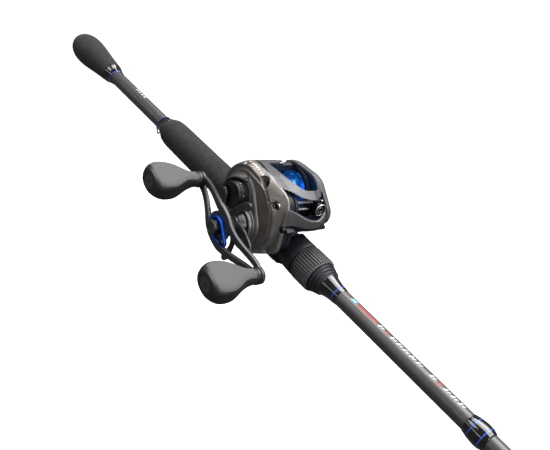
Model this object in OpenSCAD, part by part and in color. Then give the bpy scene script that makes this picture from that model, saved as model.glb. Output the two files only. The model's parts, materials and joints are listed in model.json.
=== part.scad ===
// Baitcasting rod with a low-profile reel.
// Millimetres. +X runs along the rod towards the tip, +Y to the left (palm side), +Z up (reel side).
// The origin is on the rod's axis at the butt end.

/* [Rod] */
// Overall length of the assembled rod
rod_length = 1830; // [1700:10:2000]
// Where the handle section ends and the tip section begins
ferrule_x = 545; // [540:1:560]
// Radius of the blank at the butt
blank_r = 6.66; // [6.5:0.01:6.9]
// Radius that the blank loses per millimetre of the handle section
blank_taper = 0.0021; // [0.0015:0.0001:0.0025]
// Radius of the bore inside the handle section
blank_bore_r = 4.3; // [4:0.05:4.4]
// Radius of the tip section at its thin end
tip_r = 1.0; // [0.9:0.1:1.3]
// Length of the tip section's spigot inside the ferrule
spigot_length = 85; // [60:5:100]

/* [Grips] */
// Length of the butt grip
butt_grip_length = 80; // [70:1:84]
// Largest radius of the butt grip
butt_grip_r = 14.4; // [14:0.1:15]
// Where the rear grip begins
rear_grip_x = 184; // [180:1:190]
// Radius of the rear grip
rear_grip_r = 11.9; // [11.5:0.1:12]

/* [Reel seat] */
// Where the reel seat begins
seat_x = 272; // [268:1:276]
// Height of the flat that the reel foot rests on
seat_flat_z = 7.2; // [7.1:0.05:7.3]
// Radius of the seat's barrel
seat_r = 12; // [11.8:0.1:12.2]
// Radius of the threaded end of the seat
thread_r = 10.3; // [10.2:0.05:10.3]
// Rear edge of the lock nut
nut_x = 384.3; // [384:0.1:384.5]
// Outside radius of the lock nut
nut_r = 13; // [12.8:0.1:13.2]

/* [Reel] */
// Crank axis, distance from the butt
crank_x = 347.5; // [347:0.1:348]
// Crank axis, height above the rod's axis
crank_z = 8.5; // [8.4:0.1:8.6]
// Radius of the spool's flanges
spool_r = 15.2; // [15:0.1:15.3]
// Distance between the centres of the two knobs
crank_span = 85; // [82:1:88]
// Length of each knob
knob_length = 39.4; // [36:0.2:40]
// Direction of the crank's first arm, degrees above the rod's +X axis
crank_angle = 165.6; // [160:0.1:170]

/* [Gears] */
// Teeth on the drive gear
drive_teeth = 76; // [76:1:76]
// Teeth on the pinion
pinion_teeth = 12; // [12:1:12]
// Teeth on the level-wind gear of the drive shaft
lead_teeth = 30; // [30:1:30]
// Teeth on the idler gear
idler_teeth = 27; // [27:1:27]
// Teeth on the worm shaft's gear
worm_teeth = 18; // [18:1:18]

/* [Guides] */
// Distances of the seven guides from the tip, nearest to the handle first
guide_from_tip = [1118, 876, 673, 495, 343, 216, 102];
// Inside radii of the seven guide rings
guide_bore_r = [5.0, 4.0, 3.1, 2.6, 2.2, 2.0, 2.0];
// Heights of the seven ring centres above the blank's surface
guide_rise = [15, 12, 9.5, 8, 7, 6.5, 6];

/* [Hidden] */
$fn = 64;
fit = 0.05;                 // radial clearance of a running fit
gap = 0.3;                  // clearance between parts that only pass each other
press_angle = 25;           // pressure angle of every gear
backlash = 0.06;            // thinning of each tooth at the pitch circle
gear_centres = 20;          // drive gear to pinion
spool_angle = 124;          // direction from the crank axis to the spool axis
worm_angle = 47;            // direction from the crank axis to the worm axis
fine_module = 0.6;          // module of the level-wind gears
main_module = 2 * gear_centres / (drive_teeth + pinion_teeth);
idler_dist = fine_module * (lead_teeth + idler_teeth) / 2;
worm_dist = idler_dist + fine_module * (idler_teeth + worm_teeth) / 2;

crank_c = [crank_x, crank_z];
spool_c = crank_c + gear_centres * [cos(spool_angle), sin(spool_angle)];
idler_c = crank_c + idler_dist * [cos(worm_angle), sin(worm_angle)];
worm_c = crank_c + worm_dist * [cos(worm_angle), sin(worm_angle)];
rail_c = [371, 39];         // guide rod of the level wind
eye_c = [376, 36.3];        // centre of the line guide's ring
eye_y = 3.5;                  // where the line guide stands across the reel

// Stations across the reel, from the handle side to the palm side
plate_r_y = [-16, -13.2];
plate_l_y = [16.2, 18.6];
cover_r_y = -30;
cover_l_y = 31;
wall = 2.4;
shaft_r = 4;
stem_r = 3;
spool_shaft_r = 1.5;
bearing_r = 4;
drive_gear_y = [-22.2, -18.8];
lead_gear_y = [-18.2, -16.6];
washer_y = [-23.8, -22.3];
roller_y = [-33, -24];
roller_r = 7;
tension_y = [-39, -30.6];
tension_r = 9.6;
star_y = [-41.4, -39.4];
star_hub_y = -33.6;
star_r = 28;
hub_y = [-51.2, -48];
pad_y = [-43.4, -40.4];
nut_face_y = -57;
knob_y = pad_y[0] - gap;
knob_bore_r = 2.46;
retainer_angle = -25;
retainer_reach = 14;
foot_x = [312, 378];
foot_half = 6;
foot_t = 2.2;
hood_x = [371, 384];
hood_r = 12.8;
crest_r = thread_r + 0.9;
thread_pitch = 2.5;
check_len = 9;

// Outline of the handle-side cover: circles that its edge wraps round
right_lobes = [[crank_c, 21], [spool_c, 22.5], [[350, 31], 17], [[364.5, 32.5], 12.8], [[372, 10], 8]];
left_lobes = [[[344, 17], 14], [spool_c, 22.5], [[350, 31], 17], [[366, 27], 10]];
hood_lobes = [[spool_c, 22.5], [[358, 33], 16.5], [[372.5, 30], 11.5], [[375, 24], 9]];

// Screws that hold the handle-side cover
screw_places = [[352, 40.5], [367, 40], [372.5, 13]];

// ---- helpers ----

function blank_at(x) = blank_r - blank_taper * x;
function tip_at(x) = blank_at(ferrule_x)
    + (tip_r - blank_at(ferrule_x)) * (x - ferrule_x) / (rod_length - ferrule_x);
function polar(r, a) = r * [cos(a), sin(a)];

// A solid turned about the rod's axis from [radius, x] points
module turn_x(points) rotate([0, 90, 0]) rotate_extrude() polygon(points);

// A solid turned about a cross axis through c = [x, z] from [radius, y] points
module turn_y(c, points)
    translate([c.x, 0, c.y]) rotate([-90, 0, 0]) rotate_extrude() polygon(points);

// A cylinder along X
module bar_x(x0, x1, r) translate([x0, 0, 0]) rotate([0, 90, 0]) cylinder(h = x1 - x0, r = r);

// A cylinder along Y through c = [x, z]
module bar_y(c, y0, y1, r)
    translate([c.x, y0, c.y]) rotate([-90, 0, 0]) cylinder(h = y1 - y0, r = r);

// A ring along Y through c
module ring_y(c, y0, y1, r_out, r_in)
    turn_y(c, [[r_in, y0], [r_out, y0], [r_out, y1], [r_in, y1]]);

// A flat shape drawn in X and Z, thick from y0 to y1
module slab_y(y0, y1)
    translate([0, y1, 0]) rotate([90, 0, 0]) linear_extrude(y1 - y0) children();

// A round strut between two points
module strut(a, b, r) {
    d = b - a;
    translate(a) rotate([0, acos(d.z / norm(d)), atan2(d.y, d.x)]) cylinder(h = norm(d), r = r);
}

// The space inside and outside the blank, for the parts that slide over it
module blank_space(x0, x1) turn_x([[0, x0], [blank_at(x0), x0], [blank_at(x1), x1], [0, x1]]);

// The outline that wraps round a list of [centre, radius] circles
module outline(lobes, grow) hull() for (l = lobes) translate(l[0]) circle(r = l[1] + grow);

// A cover: full outline from y0 to y1, drawn in by inset at y2
module cover_form(lobes, y0, y1, y2, grow, inset) {
    hull() {
        for (l = lobes) {
            bar_y(l[0], min(y0, y1), max(y0, y1), l[1] + grow, $fn = 32);
            bar_y(l[0], min(y1, y2), max(y1, y2), l[1] + grow - inset, $fn = 32);
        }
    }
}

// Angle in degrees between the tooth's middle and its flank at radius r
function involute(a) = tan(a) * 180 / PI - a;
function half_tooth(r, teeth, m) =
    let (pitch = m * teeth / 2, base = pitch * cos(press_angle))
    90 / teeth - backlash / pitch * 90 / PI + involute(press_angle)
    - involute(acos(min(1, base / r)));

// A spur gear outline with a tooth's middle at angle phase
module gear_outline(teeth, m, phase) {
    pitch = m * teeth / 2;
    base = pitch * cos(press_angle);
    root = pitch - 1.2 * m;
    tip = pitch + 0.9 * m;
    foot = max(root, base);
    flank = [foot, (foot + pitch) / 2, pitch, tip];
    polygon([
        for (i = [0 : teeth - 1])
            let (mid = phase + i * 360 / teeth)
            each concat(
                [polar(root, mid - half_tooth(foot, teeth, m) - 0.2)],
                [for (r = flank) polar(r, mid - half_tooth(r, teeth, m))],
                [for (k = [3 : -1 : 0]) polar(flank[k], mid + half_tooth(flank[k], teeth, m))],
                [polar(root, mid + half_tooth(foot, teeth, m) + 0.2)]
            )
    ]);
}

module gear(c, y, teeth, m, phase, bore) {
    slab_y(y[0], y[1]) translate(c) difference() {
        gear_outline(teeth, m, phase);
        circle(r = bore);
    }
}

// ---- rod, handle section ----

module rod_blank_butt() {
    color("#4b4948") difference() {
        blank_space(4, ferrule_x);
        bar_x(12, ferrule_x + 1, blank_bore_r);
    }
}

module butt_grip() {
    color("#464442") difference() {
        turn_x([
            [0, 0], [butt_grip_r - 3.5, 0], [butt_grip_r - 1, 1.5], [butt_grip_r, 5],
            [butt_grip_r, 27], [butt_grip_r - 0.9, 40], [butt_grip_r - 2.6, 55],
            [9.6, butt_grip_length - 2], [9.2, butt_grip_length], [0, butt_grip_length]
        ]);
        blank_space(4, butt_grip_length + 1);
    }
}

// A tapered ring where a grip meets the blank; a cylindrical land carries the trim ring
module winding_check(x, r_big, r_land, direction) {
    color("#111111") difference() {
        turn_x([
            [0, x], [r_big, x], [r_land, x + direction * 4.5], [r_land, x + direction * 7],
            [r_land - 0.4, x + direction * check_len], [0, x + direction * check_len]
        ]);
        blank_space(x - check_len - 1, x + check_len + 1);
    }
}

module butt_winding_check() winding_check(butt_grip_length, 9.2, 7.6, 1);

module rear_winding_check() winding_check(rear_grip_x, 9.0, 7.6, -1);

module front_winding_check() winding_check(410, 8.8, 6.9, 1);

module rear_grip() {
    color("#464442") difference() {
        turn_x([
            [0, rear_grip_x], [9.0, rear_grip_x], [10.9, rear_grip_x + 2.5],
            [rear_grip_r, rear_grip_x + 8], [rear_grip_r, seat_x], [0, seat_x]
        ]);
        blank_space(rear_grip_x - 1, seat_x + 1);
    }
}

module hook_keeper() {
    z0 = -blank_at(166) - 0.7;
    color("#222222") {
        strut([160, 0, z0], [166, 0, z0 - 5], 0.6);
        strut([172, 0, z0], [166, 0, z0 - 5], 0.6);
    }
}

module ferrule_wrap() {
    color("#1a1a1c") difference() {
        turn_x([
            [0, ferrule_x - 20], [blank_at(ferrule_x) + 0.3, ferrule_x - 20], [6.9, ferrule_x - 14],
            [7.25, ferrule_x - 9], [7.25, ferrule_x - 5], [6.6, ferrule_x], [0, ferrule_x]
        ]);
        blank_space(ferrule_x - 22, ferrule_x + 1);
    }
}

// Thin coloured rings on the lands of the winding checks
module trim_ring(x, r) turn_x([[r, x], [r + 0.3, x], [r + 0.3, x + 1.1], [r, x + 1.1]]);

module trim_rings() {
    color("#2c62d8") {
        trim_ring(butt_grip_length + 5, 7.6);
        trim_ring(rear_grip_x - 6.1, 7.6);
        trim_ring(415, 6.9);
        trim_ring(ferrule_x - 8, 7.25);
    }
}

// ---- reel seat ----

module reel_seat() {
    color("#202126") difference() {
        union() {
            bar_x(seat_x, 318, seat_r);
            bar_x(318, 370, 11);
            bar_x(370, 410, thread_r);
            for (x = [386 : thread_pitch : 409])
                bar_x(x - 0.6, x + 0.6, crest_r);
            trigger();
        }
        blank_space(seat_x - 1, 411);
        translate([318, -15, seat_flat_z]) cube([66, 30, 20]);
        translate([foot_x[0] - gap, -foot_half - gap, seat_flat_z])
            cube([10, 2 * foot_half + 2 * gap, foot_t + gap]);
    }
}

// Finger trigger under the seat
module trigger() {
    slab_y(-4, 4) polygon([
        [300, -8], [340, -8], [334, -14], [331, -22], [331.5, -30], [327, -32.5],
        [322.5, -30], [321, -22], [315, -13.5]
    ]);
}

module sliding_hood() {
    color("#2a2b30") difference() {
        union() {
            bar_x(hood_x[0], hood_x[1], hood_r);
            translate([hood_x[0], -7.6, 0]) cube([9, 15.2, 12.8]);
        }
        bar_x(hood_x[0] - 1, hood_x[1] + 1, crest_r + gap);
        translate([hood_x[0] - 1, -foot_half - gap, 5])
            cube([foot_x[1] + gap - hood_x[0] + 1, 2 * (foot_half + gap), seat_flat_z + foot_t + gap - 5]);
    }
}

module lock_nut() {
    ribs = 26;
    color("#4c4d50") difference() {
        turn_x([
            [crest_r + gap, nut_x], [nut_r - 0.6, nut_x], [nut_r, nut_x + 1], [nut_r, 400],
            [nut_r - 1, 402], [crest_r + gap, 402]
        ]);
        for (i = [0 : ribs - 1])
            rotate([i * 360 / ribs, 0, 0]) translate([0, 0, nut_r + 0.1])
                bar_x(nut_x + 1.5, 399, 0.7);
    }
}

// ---- reel, fixed parts ----

module frame_plate_right() {
    slab_y(plate_r_y[0], plate_r_y[1]) difference() {
        outline(right_lobes, -wall - 0.2);
        translate(spool_c) circle(r = bearing_r);
        translate(crank_c) circle(r = stem_r);
        translate(worm_c) circle(r = 2.5);
    }
}

module frame_plate_left() {
    slab_y(plate_l_y[0], plate_l_y[1]) difference() {
        outline(left_lobes, -wall - 0.2);
        translate(spool_c) circle(r = spool_r + 0.8);
        translate(worm_c) circle(r = 2.5);
    }
}

module reel_frame() {
    width = plate_l_y[0] - plate_r_y[1];
    color("#1d1e22") {
        frame_plate_right();
        frame_plate_left();
        translate([322, plate_r_y[1], seat_flat_z]) cube([30, width, foot_t]);
        translate([foot_x[0], -foot_half, seat_flat_z])
            cube([foot_x[1] - foot_x[0], 2 * foot_half, foot_t]);
        translate([316.5, plate_r_y[1], 19]) cube([2.4, width, 9]);
        translate([362, plate_r_y[1], 19.5]) cube([14, width, 2.4]);
        bar_y(idler_c, -18.4, plate_r_y[0], 2);
    }
}

module right_side_cover() {
    color("#96918c") difference() {
        union() {
            cover_form(right_lobes, plate_r_y[0], -24, cover_r_y, 0, 3.5);
            bar_y(crank_c, roller_y[0] - 0.2, -28, roller_r + 2.5);
            bar_y(spool_c, -34, -28, 7.4);
        }
        cover_form(right_lobes, plate_r_y[0] + 1, -22.5, cover_r_y + wall, -wall, 3);
        bar_y(crank_c, roller_y[0] - 1, -20, roller_r);
        bar_y(spool_c, -31.2, -20, 2.2);
        for (s = screw_places)
            bar_y(s, cover_r_y - 1, -20, 1.25);
    }
}

module cover_screws() {
    color("#38383a") for (s = screw_places) {
        bar_y(s, cover_r_y, plate_r_y[0], 1.25);
        bar_y(s, cover_r_y - 0.9, cover_r_y, 2.1);
    }
}

module left_side_cover() {
    color("#96918c") difference() {
        cover_form(left_lobes, plate_l_y[1], 20, cover_l_y, 0, 9);
        cover_form(left_lobes, plate_l_y[1] - 1, 20, cover_l_y - wall, -wall, 9);
        bar_y(spool_c, 27, cover_l_y + 1, bearing_r + 0.1);
    }
}

module front_cover() {
    color("#64646a") intersection() {
        difference() {
            slab_y(plate_r_y[1], plate_l_y[0]) outline(hood_lobes, 0);
            slab_y(plate_r_y[1] - 1, plate_l_y[0] + 1) outline(hood_lobes, -wall);
            translate([374, plate_r_y[1] + 2, 29]) cube([20, 25.4, 12]);
        }
        translate([354, plate_r_y[1], 21.9]) cube([45, plate_l_y[0] - plate_r_y[1], 40]);
    }
}

module spool_bearings() {
    color("#b9bcc0") {
        ring_y(spool_c, plate_r_y[0], plate_r_y[1] - 0.4, bearing_r, spool_shaft_r + fit);
        ring_y(spool_c, 20, 23, bearing_r, spool_shaft_r + fit);
    }
}

module brake_ring() {
    color("#8a8d92") difference() {
        ring_y(spool_c, 20, 28.4, 6.5, bearing_r);
        bar_y(spool_c, 29, 40, 1);
    }
}

module roller_bearing() {
    color("#b9bcc0") ring_y(crank_c, roller_y[0], roller_y[1], roller_r, shaft_r + fit);
}

module level_wind_rod() {
    color("#c8cacd") bar_y(rail_c, plate_r_y[1], plate_l_y[0], 1.25);
}

module tension_shim() {
    color("#c9a24a") bar_y(spool_c, -31.2, -30.4, 2.2);
}

// ---- reel, crank and gears ----

module drive_shaft() {
    color("#a7a9ad") {
        turn_y(crank_c, [
            [0, nut_face_y + 0.8], [stem_r, nut_face_y + 0.8], [stem_r, hub_y[1]], [5.5, hub_y[1]],
            [5.5, -43.2], [shaft_r, -43.2], [shaft_r, -16.5], [stem_r - fit, -16.5],
            [stem_r - fit, plate_r_y[1] - 0.3], [0, plate_r_y[1] - 0.3]
        ]);
    }
}

module drive_gear() {
    color("#c9a24a") gear(crank_c, drive_gear_y, drive_teeth, main_module, spool_angle, shaft_r);
}

module pinion_gear() {
    color("#c9a24a") gear(spool_c, [-25, -18.5], pinion_teeth, main_module,
        spool_angle + 180 + 180 / pinion_teeth, spool_shaft_r);
}

module level_wind_gear() {
    color("#e8e6e0") gear(crank_c, lead_gear_y, lead_teeth, fine_module, worm_angle, shaft_r);
}

module idler_gear() {
    color("#e8e6e0") gear(idler_c, lead_gear_y, idler_teeth, fine_module,
        worm_angle + 180 + 180 / idler_teeth, 2 + fit);
}

module worm_gear() {
    color("#e8e6e0") gear(worm_c, lead_gear_y, worm_teeth, fine_module,
        worm_angle + 180 + 180 / worm_teeth, 2.45);
}

module drag_washers() {
    color("#3b3b3d") {
        ring_y(crank_c, washer_y[0], washer_y[0] + 0.7, 9, shaft_r);
        ring_y(crank_c, washer_y[0] + 0.8, washer_y[1], 9.5, shaft_r);
    }
}

// The handle's own frame: u along the first arm, v across it, w along Y
module on_crank() translate([crank_x, 0, crank_z]) rotate([0, -crank_angle, 0]) children();

module crank_beam(side, across) {
    hull() {
        translate([side * 9, 0, across * 5]) rotate([-90, 0, 0])
            translate([0, 0, hub_y[0]]) cylinder(h = hub_y[1] - hub_y[0], r = 2.2, $fn = 20);
        translate([side * (crank_span / 2 - 6.8), 0, across * 2.5]) rotate([-90, 0, 0])
            translate([0, 0, pad_y[0]]) cylinder(h = pad_y[1] - pad_y[0], r = 2.0, $fn = 20);
    }
}

module crank_arm() {
    color("#3f4043") on_crank() difference() {
        union() {
            bar_y([0, 0], hub_y[0], hub_y[1], 9);
            for (side = [-1, 1]) {
                bar_y([side * crank_span / 2, 0], pad_y[0], pad_y[1], 6);
                for (across = [-1, 1])
                    crank_beam(side, across);
            }
        }
        bar_y([0, 0], hub_y[0] - 1, hub_y[1] + 1, stem_r);
        for (side = [-1, 1])
            bar_y([side * crank_span / 2, 0], pad_y[0] - 1, pad_y[1] + 1, 1.8);
        bar_y(polar(retainer_reach, retainer_angle - crank_angle), hub_y[0] - 1, hub_y[1] + 1, 0.9);
    }
}

module handle_nut() {
    color("#55565a") slab_y(nut_face_y, hub_y[0]) translate(crank_c) difference() {
        circle(r = 5.6, $fn = 6);
        circle(r = stem_r);
    }
}

module nut_retainer() {
    color("#2f6ae0") slab_y(hub_y[0] - 2.4, hub_y[0]) translate(crank_c) difference() {
        hull() {
            circle(r = 8.6);
            translate(polar(retainer_reach, retainer_angle)) circle(r = 3.4);
        }
        circle(r = 5.7);
        translate(polar(retainer_reach, retainer_angle)) circle(r = 0.9);
    }
}

module retainer_screw() {
    c = crank_c + polar(retainer_reach, retainer_angle);
    color("#7b7d80") {
        bar_y(c, hub_y[0] - 2.4, hub_y[1] - 0.2, 0.9);
        bar_y(c, hub_y[0] - 3.6, hub_y[0] - 2.4, 2.2);
    }
}

module knob_spindles() {
    color("#a7a9ad") on_crank() for (side = [-1, 1])
        turn_y([side * crank_span / 2, 0], [
            [0, pad_y[1]], [1.8, pad_y[1]], [1.8, pad_y[0]], [knob_bore_r - fit, pad_y[0]],
            [knob_bore_r - fit, knob_y - knob_length + 4], [0, knob_y - knob_length + 4]
        ]);
}

module knob(side) {
    y1 = knob_y;
    y0 = knob_y - knob_length;
    color("#5c5d5f") on_crank() intersection() {
        turn_y([side * crank_span / 2, 0], [
            [knob_bore_r, y1], [5.2, y1], [5.6, y1 - 4], [6.4, y1 - 10], [9.5, y1 - 17],
            [12.6, y1 - 24], [13.2, y1 - 31], [11.5, y0 + 2.5], [9.5, y0], [6.2, y0],
            [6.2, y0 + 2], [knob_bore_r, y0 + 2]
        ]);
        translate([side * crank_span / 2 - 9.5, y0 - 1, -20]) cube([19, knob_length + 2, 40]);
    }
}

module knob_cap(side) {
    y0 = knob_y - knob_length;
    color("#48494b") on_crank() bar_y([side * crank_span / 2, 0], y0, y0 + 2, 6.2);
}

module knob_1() knob(1);
module knob_2() knob(-1);
module knob_1_cap() knob_cap(1);
module knob_2_cap() knob_cap(-1);

module star_drag() {
    arms = 5;
    color("#3f4043") {
        ring_y(crank_c, star_y[0], star_hub_y, 8, shaft_r + fit);
        slab_y(star_y[0], star_y[1]) translate(crank_c)
            for (i = [0 : arms - 1])
                rotate(i * 360 / arms + 42) difference() {
                    polygon([
                        [6.5, -3.2], [14, -2.8], [21, -1.4], [26, 1.8], [star_r - 0.6, 5.2],
                        [25.4, 6.4], [21, 4.2], [14, 3], [6.5, 3.4]
                    ]);
                    circle(r = shaft_r + 1);
                }
    }
}

module tension_knob() {
    color("#222222") difference() {
        bar_y(spool_c, tension_y[0], tension_y[1], tension_r);
        bar_y(spool_c, -34.4, tension_y[1] + 1, 7.4 + gap);
        for (i = [0 : 7])
            bar_y(spool_c + polar(tension_r + 0.6, i * 45), tension_y[0] - 1, tension_y[1] + 1, 1.4);
    }
}

module spool() {
    y0 = -12.5;
    y1 = 15.5;
    color("#2563d6") turn_y(spool_c, [
        [spool_shaft_r, y0 + 1.5], [6, y0 + 1.5], [7, y0 + 0.6], [spool_r - 1.2, y0],
        [spool_r, y0], [spool_r, y0 + 1], [spool_r - 1.2, y0 + 1.4], [9.5, y0 + 7],
        [9.5, y1 - 7], [spool_r - 1.2, y1 - 1.4], [spool_r, y1 - 1], [spool_r, y1],
        [spool_r - 1.2, y1], [7, y1 - 0.6], [6, y1 - 1.5], [spool_shaft_r, y1 - 1.5]
    ]);
}

module spool_shaft() {
    color("#c8cacd") bar_y(spool_c, -30.2, 24, spool_shaft_r);
}

module worm_shaft() {
    color("#8f9296") difference() {
        union() {
            bar_y(worm_c, lead_gear_y[0], plate_l_y[1], 2.45);
            bar_y(worm_c, plate_r_y[1] + gap, plate_l_y[0] - gap, 2.9);
        }
        for (y = [-11 : 2.6 : 14])
            ring_y(worm_c, y, y + 0.9, 3.5, 2.5);
    }
}

module line_guide() {
    color("#2b2b2e") difference() {
        union() {
            bar_y(worm_c, eye_y - 3.5, eye_y + 3.5, 4.4);
            bar_y(rail_c, eye_y - 3.5, eye_y + 3.5, 2.0);
            slab_y(eye_y - 2.5, eye_y + 2.5) polygon([
                worm_c + [-1, 3.2], rail_c + [-1.6, 0], rail_c + [1.6, 0], worm_c + [3.2, 2.8]
            ]);
            translate([eye_c.x, eye_y, eye_c.y]) eye_ring(4.2, 2.4, 2.4);
            translate([worm_c.x + 2, eye_y - 1.2, eye_c.y - 2.6])
                cube([eye_c.x - worm_c.x - 4, 2.4, 2.4]);
        }
        bar_y(worm_c, eye_y - 5, eye_y + 5, 2.9 + gap);
        bar_y(rail_c, eye_y - 5, eye_y + 5, 1.25 + fit);
    }
}

// A ring facing along X, centred on the origin
module eye_ring(r_out, r_in, t)
    rotate([0, 90, 0]) rotate_extrude() polygon([
        [r_in, -t / 2], [r_out, -t / 2], [r_out, t / 2], [r_in, t / 2]
    ]);

module line_guide_ring() {
    color("#d8d8d4") translate([eye_c.x, eye_y, eye_c.y]) eye_ring(2.4, 1.5, 3);
}

module thumb_bar() {
    color("#2a2b30") slab_y(plate_r_y[1] + gap, plate_l_y[0] - gap) polygon([
        [313.5, 33], [320.5, 31.5], [321.8, 36], [319.5, 38.6], [315.5, 38.6], [313, 36]
    ]);
}

module brake_dial() {
    color("#2a2b30") {
        bar_y(spool_c, cover_l_y + 0.2, cover_l_y + 3, 10);
        bar_y(spool_c, 28.8, cover_l_y + 0.2, bearing_r);
    }
}

// ---- rod, tip section ----

module tip_blank() {
    color("#4b4948") turn_x([
        [0, ferrule_x - spigot_length], [blank_bore_r - fit, ferrule_x - spigot_length],
        [blank_bore_r - fit, ferrule_x + 0.2], [tip_at(ferrule_x + 0.2), ferrule_x + 0.2],
        [tip_at(rod_length - 8), rod_length - 8], [0, rod_length - 8]
    ]);
}

// A guide's frame: ring holder, two legs in front and, on the larger guides, one behind
module guide_frame(i) {
    x = rod_length - guide_from_tip[i];
    r_b = tip_at(x);
    r_in = guide_bore_r[i] + 1;
    z = r_b + guide_rise[i];
    foot_z = r_b + 1.0;
    reach = guide_rise[i] * 1.1;
    translate([x, 0, z]) eye_ring(r_in + 0.8, r_in, 1.4);
    for (s = [-1, 1]) {
        top = polar(r_in + 0.65, -90 + s * 40);
        strut([x, top.x, z + top.y], [x - reach, s * 0.4, foot_z], 0.5);
    }
    strut([x - reach + 0.2, 0, foot_z], [x - reach - 9, 0, foot_z], 0.85);
    if (i < 3) {
        strut([x, 0, z - r_in - 0.7], [x + reach * 0.7, 0, foot_z], 0.6);
        strut([x + reach * 0.7 - 0.2, 0, foot_z], [x + reach * 0.7 + 8, 0, foot_z], 0.85);
    }
}

module guide_1() color("#2c2c2e") guide_frame(0);
module guide_2() color("#2c2c2e") guide_frame(1);
module guide_3() color("#2c2c2e") guide_frame(2);
module guide_4() color("#2c2c2e") guide_frame(3);
module guide_5() color("#2c2c2e") guide_frame(4);
module guide_6() color("#2c2c2e") guide_frame(5);
module guide_7() color("#2c2c2e") guide_frame(6);

module tip_top() {
    color("#2c2c2e") {
        difference() {
            bar_x(rod_length - 18, rod_length - 6, tip_r + 0.55);
            tip_cone();
        }
        for (s = [-1, 1])
            strut([rod_length - 8, s * 1.2, 1.2], [rod_length - 0.7, s * 3.2, 2.4], 0.45);
        translate([rod_length - 0.7, 0, 3.4]) eye_ring(3.6, 2.8, 1.4);
    }
}

// The outside of the tip section, for the parts that slide over it
module tip_cone() turn_x([
    [0, ferrule_x + 0.2], [tip_at(ferrule_x + 0.2), ferrule_x + 0.2],
    [tip_at(rod_length - 8), rod_length - 8], [0, rod_length - 8]
]);

module guide_rings() {
    color("#1b1b1d") {
        for (i = [0 : 6])
            translate([rod_length - guide_from_tip[i], 0,
                tip_at(rod_length - guide_from_tip[i]) + guide_rise[i]])
                eye_ring(guide_bore_r[i] + 1, guide_bore_r[i], 2);
        translate([rod_length - 0.7, 0, 3.4]) eye_ring(2.8, 2, 1.4);
    }
}

// Thread and lacquer over each guide's feet
module wrap_sleeve(x0, x1) {
    r = tip_at(x0) + 2.1;
    turn_x([[0, x0], [r - 1.6, x0], [r, x0 + 3], [r, x1 - 3], [r - 1.8, x1], [0, x1]]);
}

module guide_wraps() {
    color("#151517") difference() {
        for (i = [0 : 6]) {
            x = rod_length - guide_from_tip[i];
            reach = guide_rise[i] * 1.1;
            wrap_sleeve(x - reach - 13, x - reach + 0.5);
            if (i < 3)
                wrap_sleeve(x + reach * 0.7 - 0.5, x + reach * 0.7 + 12);
        }
        tip_cone();
        for (i = [0 : 6])
            guide_frame(i);
    }
}

rod_blank_butt();
butt_grip();
butt_winding_check();
rear_winding_check();
rear_grip();
hook_keeper();
reel_seat();
front_winding_check();
trim_rings();
ferrule_wrap();
sliding_hood();
lock_nut();
reel_frame();
right_side_cover();
left_side_cover();
front_cover();
cover_screws();
spool_bearings();
roller_bearing();
level_wind_rod();
brake_ring();
tension_shim();
drive_shaft();
drive_gear();
drag_washers();
level_wind_gear();
crank_arm();
handle_nut();
nut_retainer();
retainer_screw();
knob_spindles();
star_drag();
knob_1();
knob_1_cap();
knob_2();
knob_2_cap();
spool();
spool_shaft();
pinion_gear();
idler_gear();
worm_shaft();
worm_gear();
line_guide();
line_guide_ring();
thumb_bar();
tension_knob();
brake_dial();
tip_blank();
guide_1();
guide_2();
guide_3();
guide_4();
guide_5();
guide_6();
guide_7();
tip_top();
guide_rings();
guide_wraps();
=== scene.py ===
"""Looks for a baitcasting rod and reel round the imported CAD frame. Lengths below are in millimetres."""
import json
import math

import bmesh
import bpy
from mathutils import Matrix, Vector


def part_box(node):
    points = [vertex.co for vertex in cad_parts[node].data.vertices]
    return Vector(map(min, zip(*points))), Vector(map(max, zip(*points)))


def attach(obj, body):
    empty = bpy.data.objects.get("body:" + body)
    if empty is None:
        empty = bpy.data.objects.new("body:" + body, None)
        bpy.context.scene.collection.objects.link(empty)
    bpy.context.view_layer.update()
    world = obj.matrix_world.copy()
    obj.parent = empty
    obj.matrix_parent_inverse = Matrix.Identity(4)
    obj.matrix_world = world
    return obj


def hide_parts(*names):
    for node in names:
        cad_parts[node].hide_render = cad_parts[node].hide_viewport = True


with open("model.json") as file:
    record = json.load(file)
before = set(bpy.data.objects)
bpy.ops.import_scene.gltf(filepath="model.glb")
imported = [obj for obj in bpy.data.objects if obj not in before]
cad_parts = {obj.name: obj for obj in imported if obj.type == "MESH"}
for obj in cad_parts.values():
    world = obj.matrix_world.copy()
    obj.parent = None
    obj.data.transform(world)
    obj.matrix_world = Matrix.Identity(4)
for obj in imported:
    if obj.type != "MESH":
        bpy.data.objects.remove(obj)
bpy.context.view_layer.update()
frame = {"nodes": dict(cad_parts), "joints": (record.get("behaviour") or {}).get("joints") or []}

MM = 0.001
PI = math.pi


# ---- places, read from the frame ----

def middle(node):
    """Centre of a CAD node's box, in mm."""
    lo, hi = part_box(node)
    return (lo + hi) / 2 / MM


def span(node):
    """Lowest and highest corner of a CAD node's box, in mm."""
    lo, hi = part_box(node)
    return lo / MM, hi / MM


def joint_at(name):
    """A joint's place in mm."""
    found = next(j for j in frame["joints"] if j["name"] == name)
    return Vector(found["pos_m"]) / MM


CRANK = joint_at("crank_turn")
SPOOL = joint_at("spool_spin")
WORM = joint_at("worm_spin")
KNOBS = [joint_at("knob_a_spin"), joint_at("knob_b_spin")]
RAIL = middle("level_wind_rod")
ARM_ANGLE = math.atan2(KNOBS[0].z - CRANK.z, KNOBS[0].x - CRANK.x)
FERRULE_X = span("ferrule_wrap")[1].x
BLANK_R = 6.66
BLANK_TAPER = 0.0021
ROD_AXIS = (0, 0, 0)


def blank_r(x):
    """Radius of the handle section's blank at station x."""
    return BLANK_R - BLANK_TAPER * x


# ---- node material helpers ----

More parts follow.
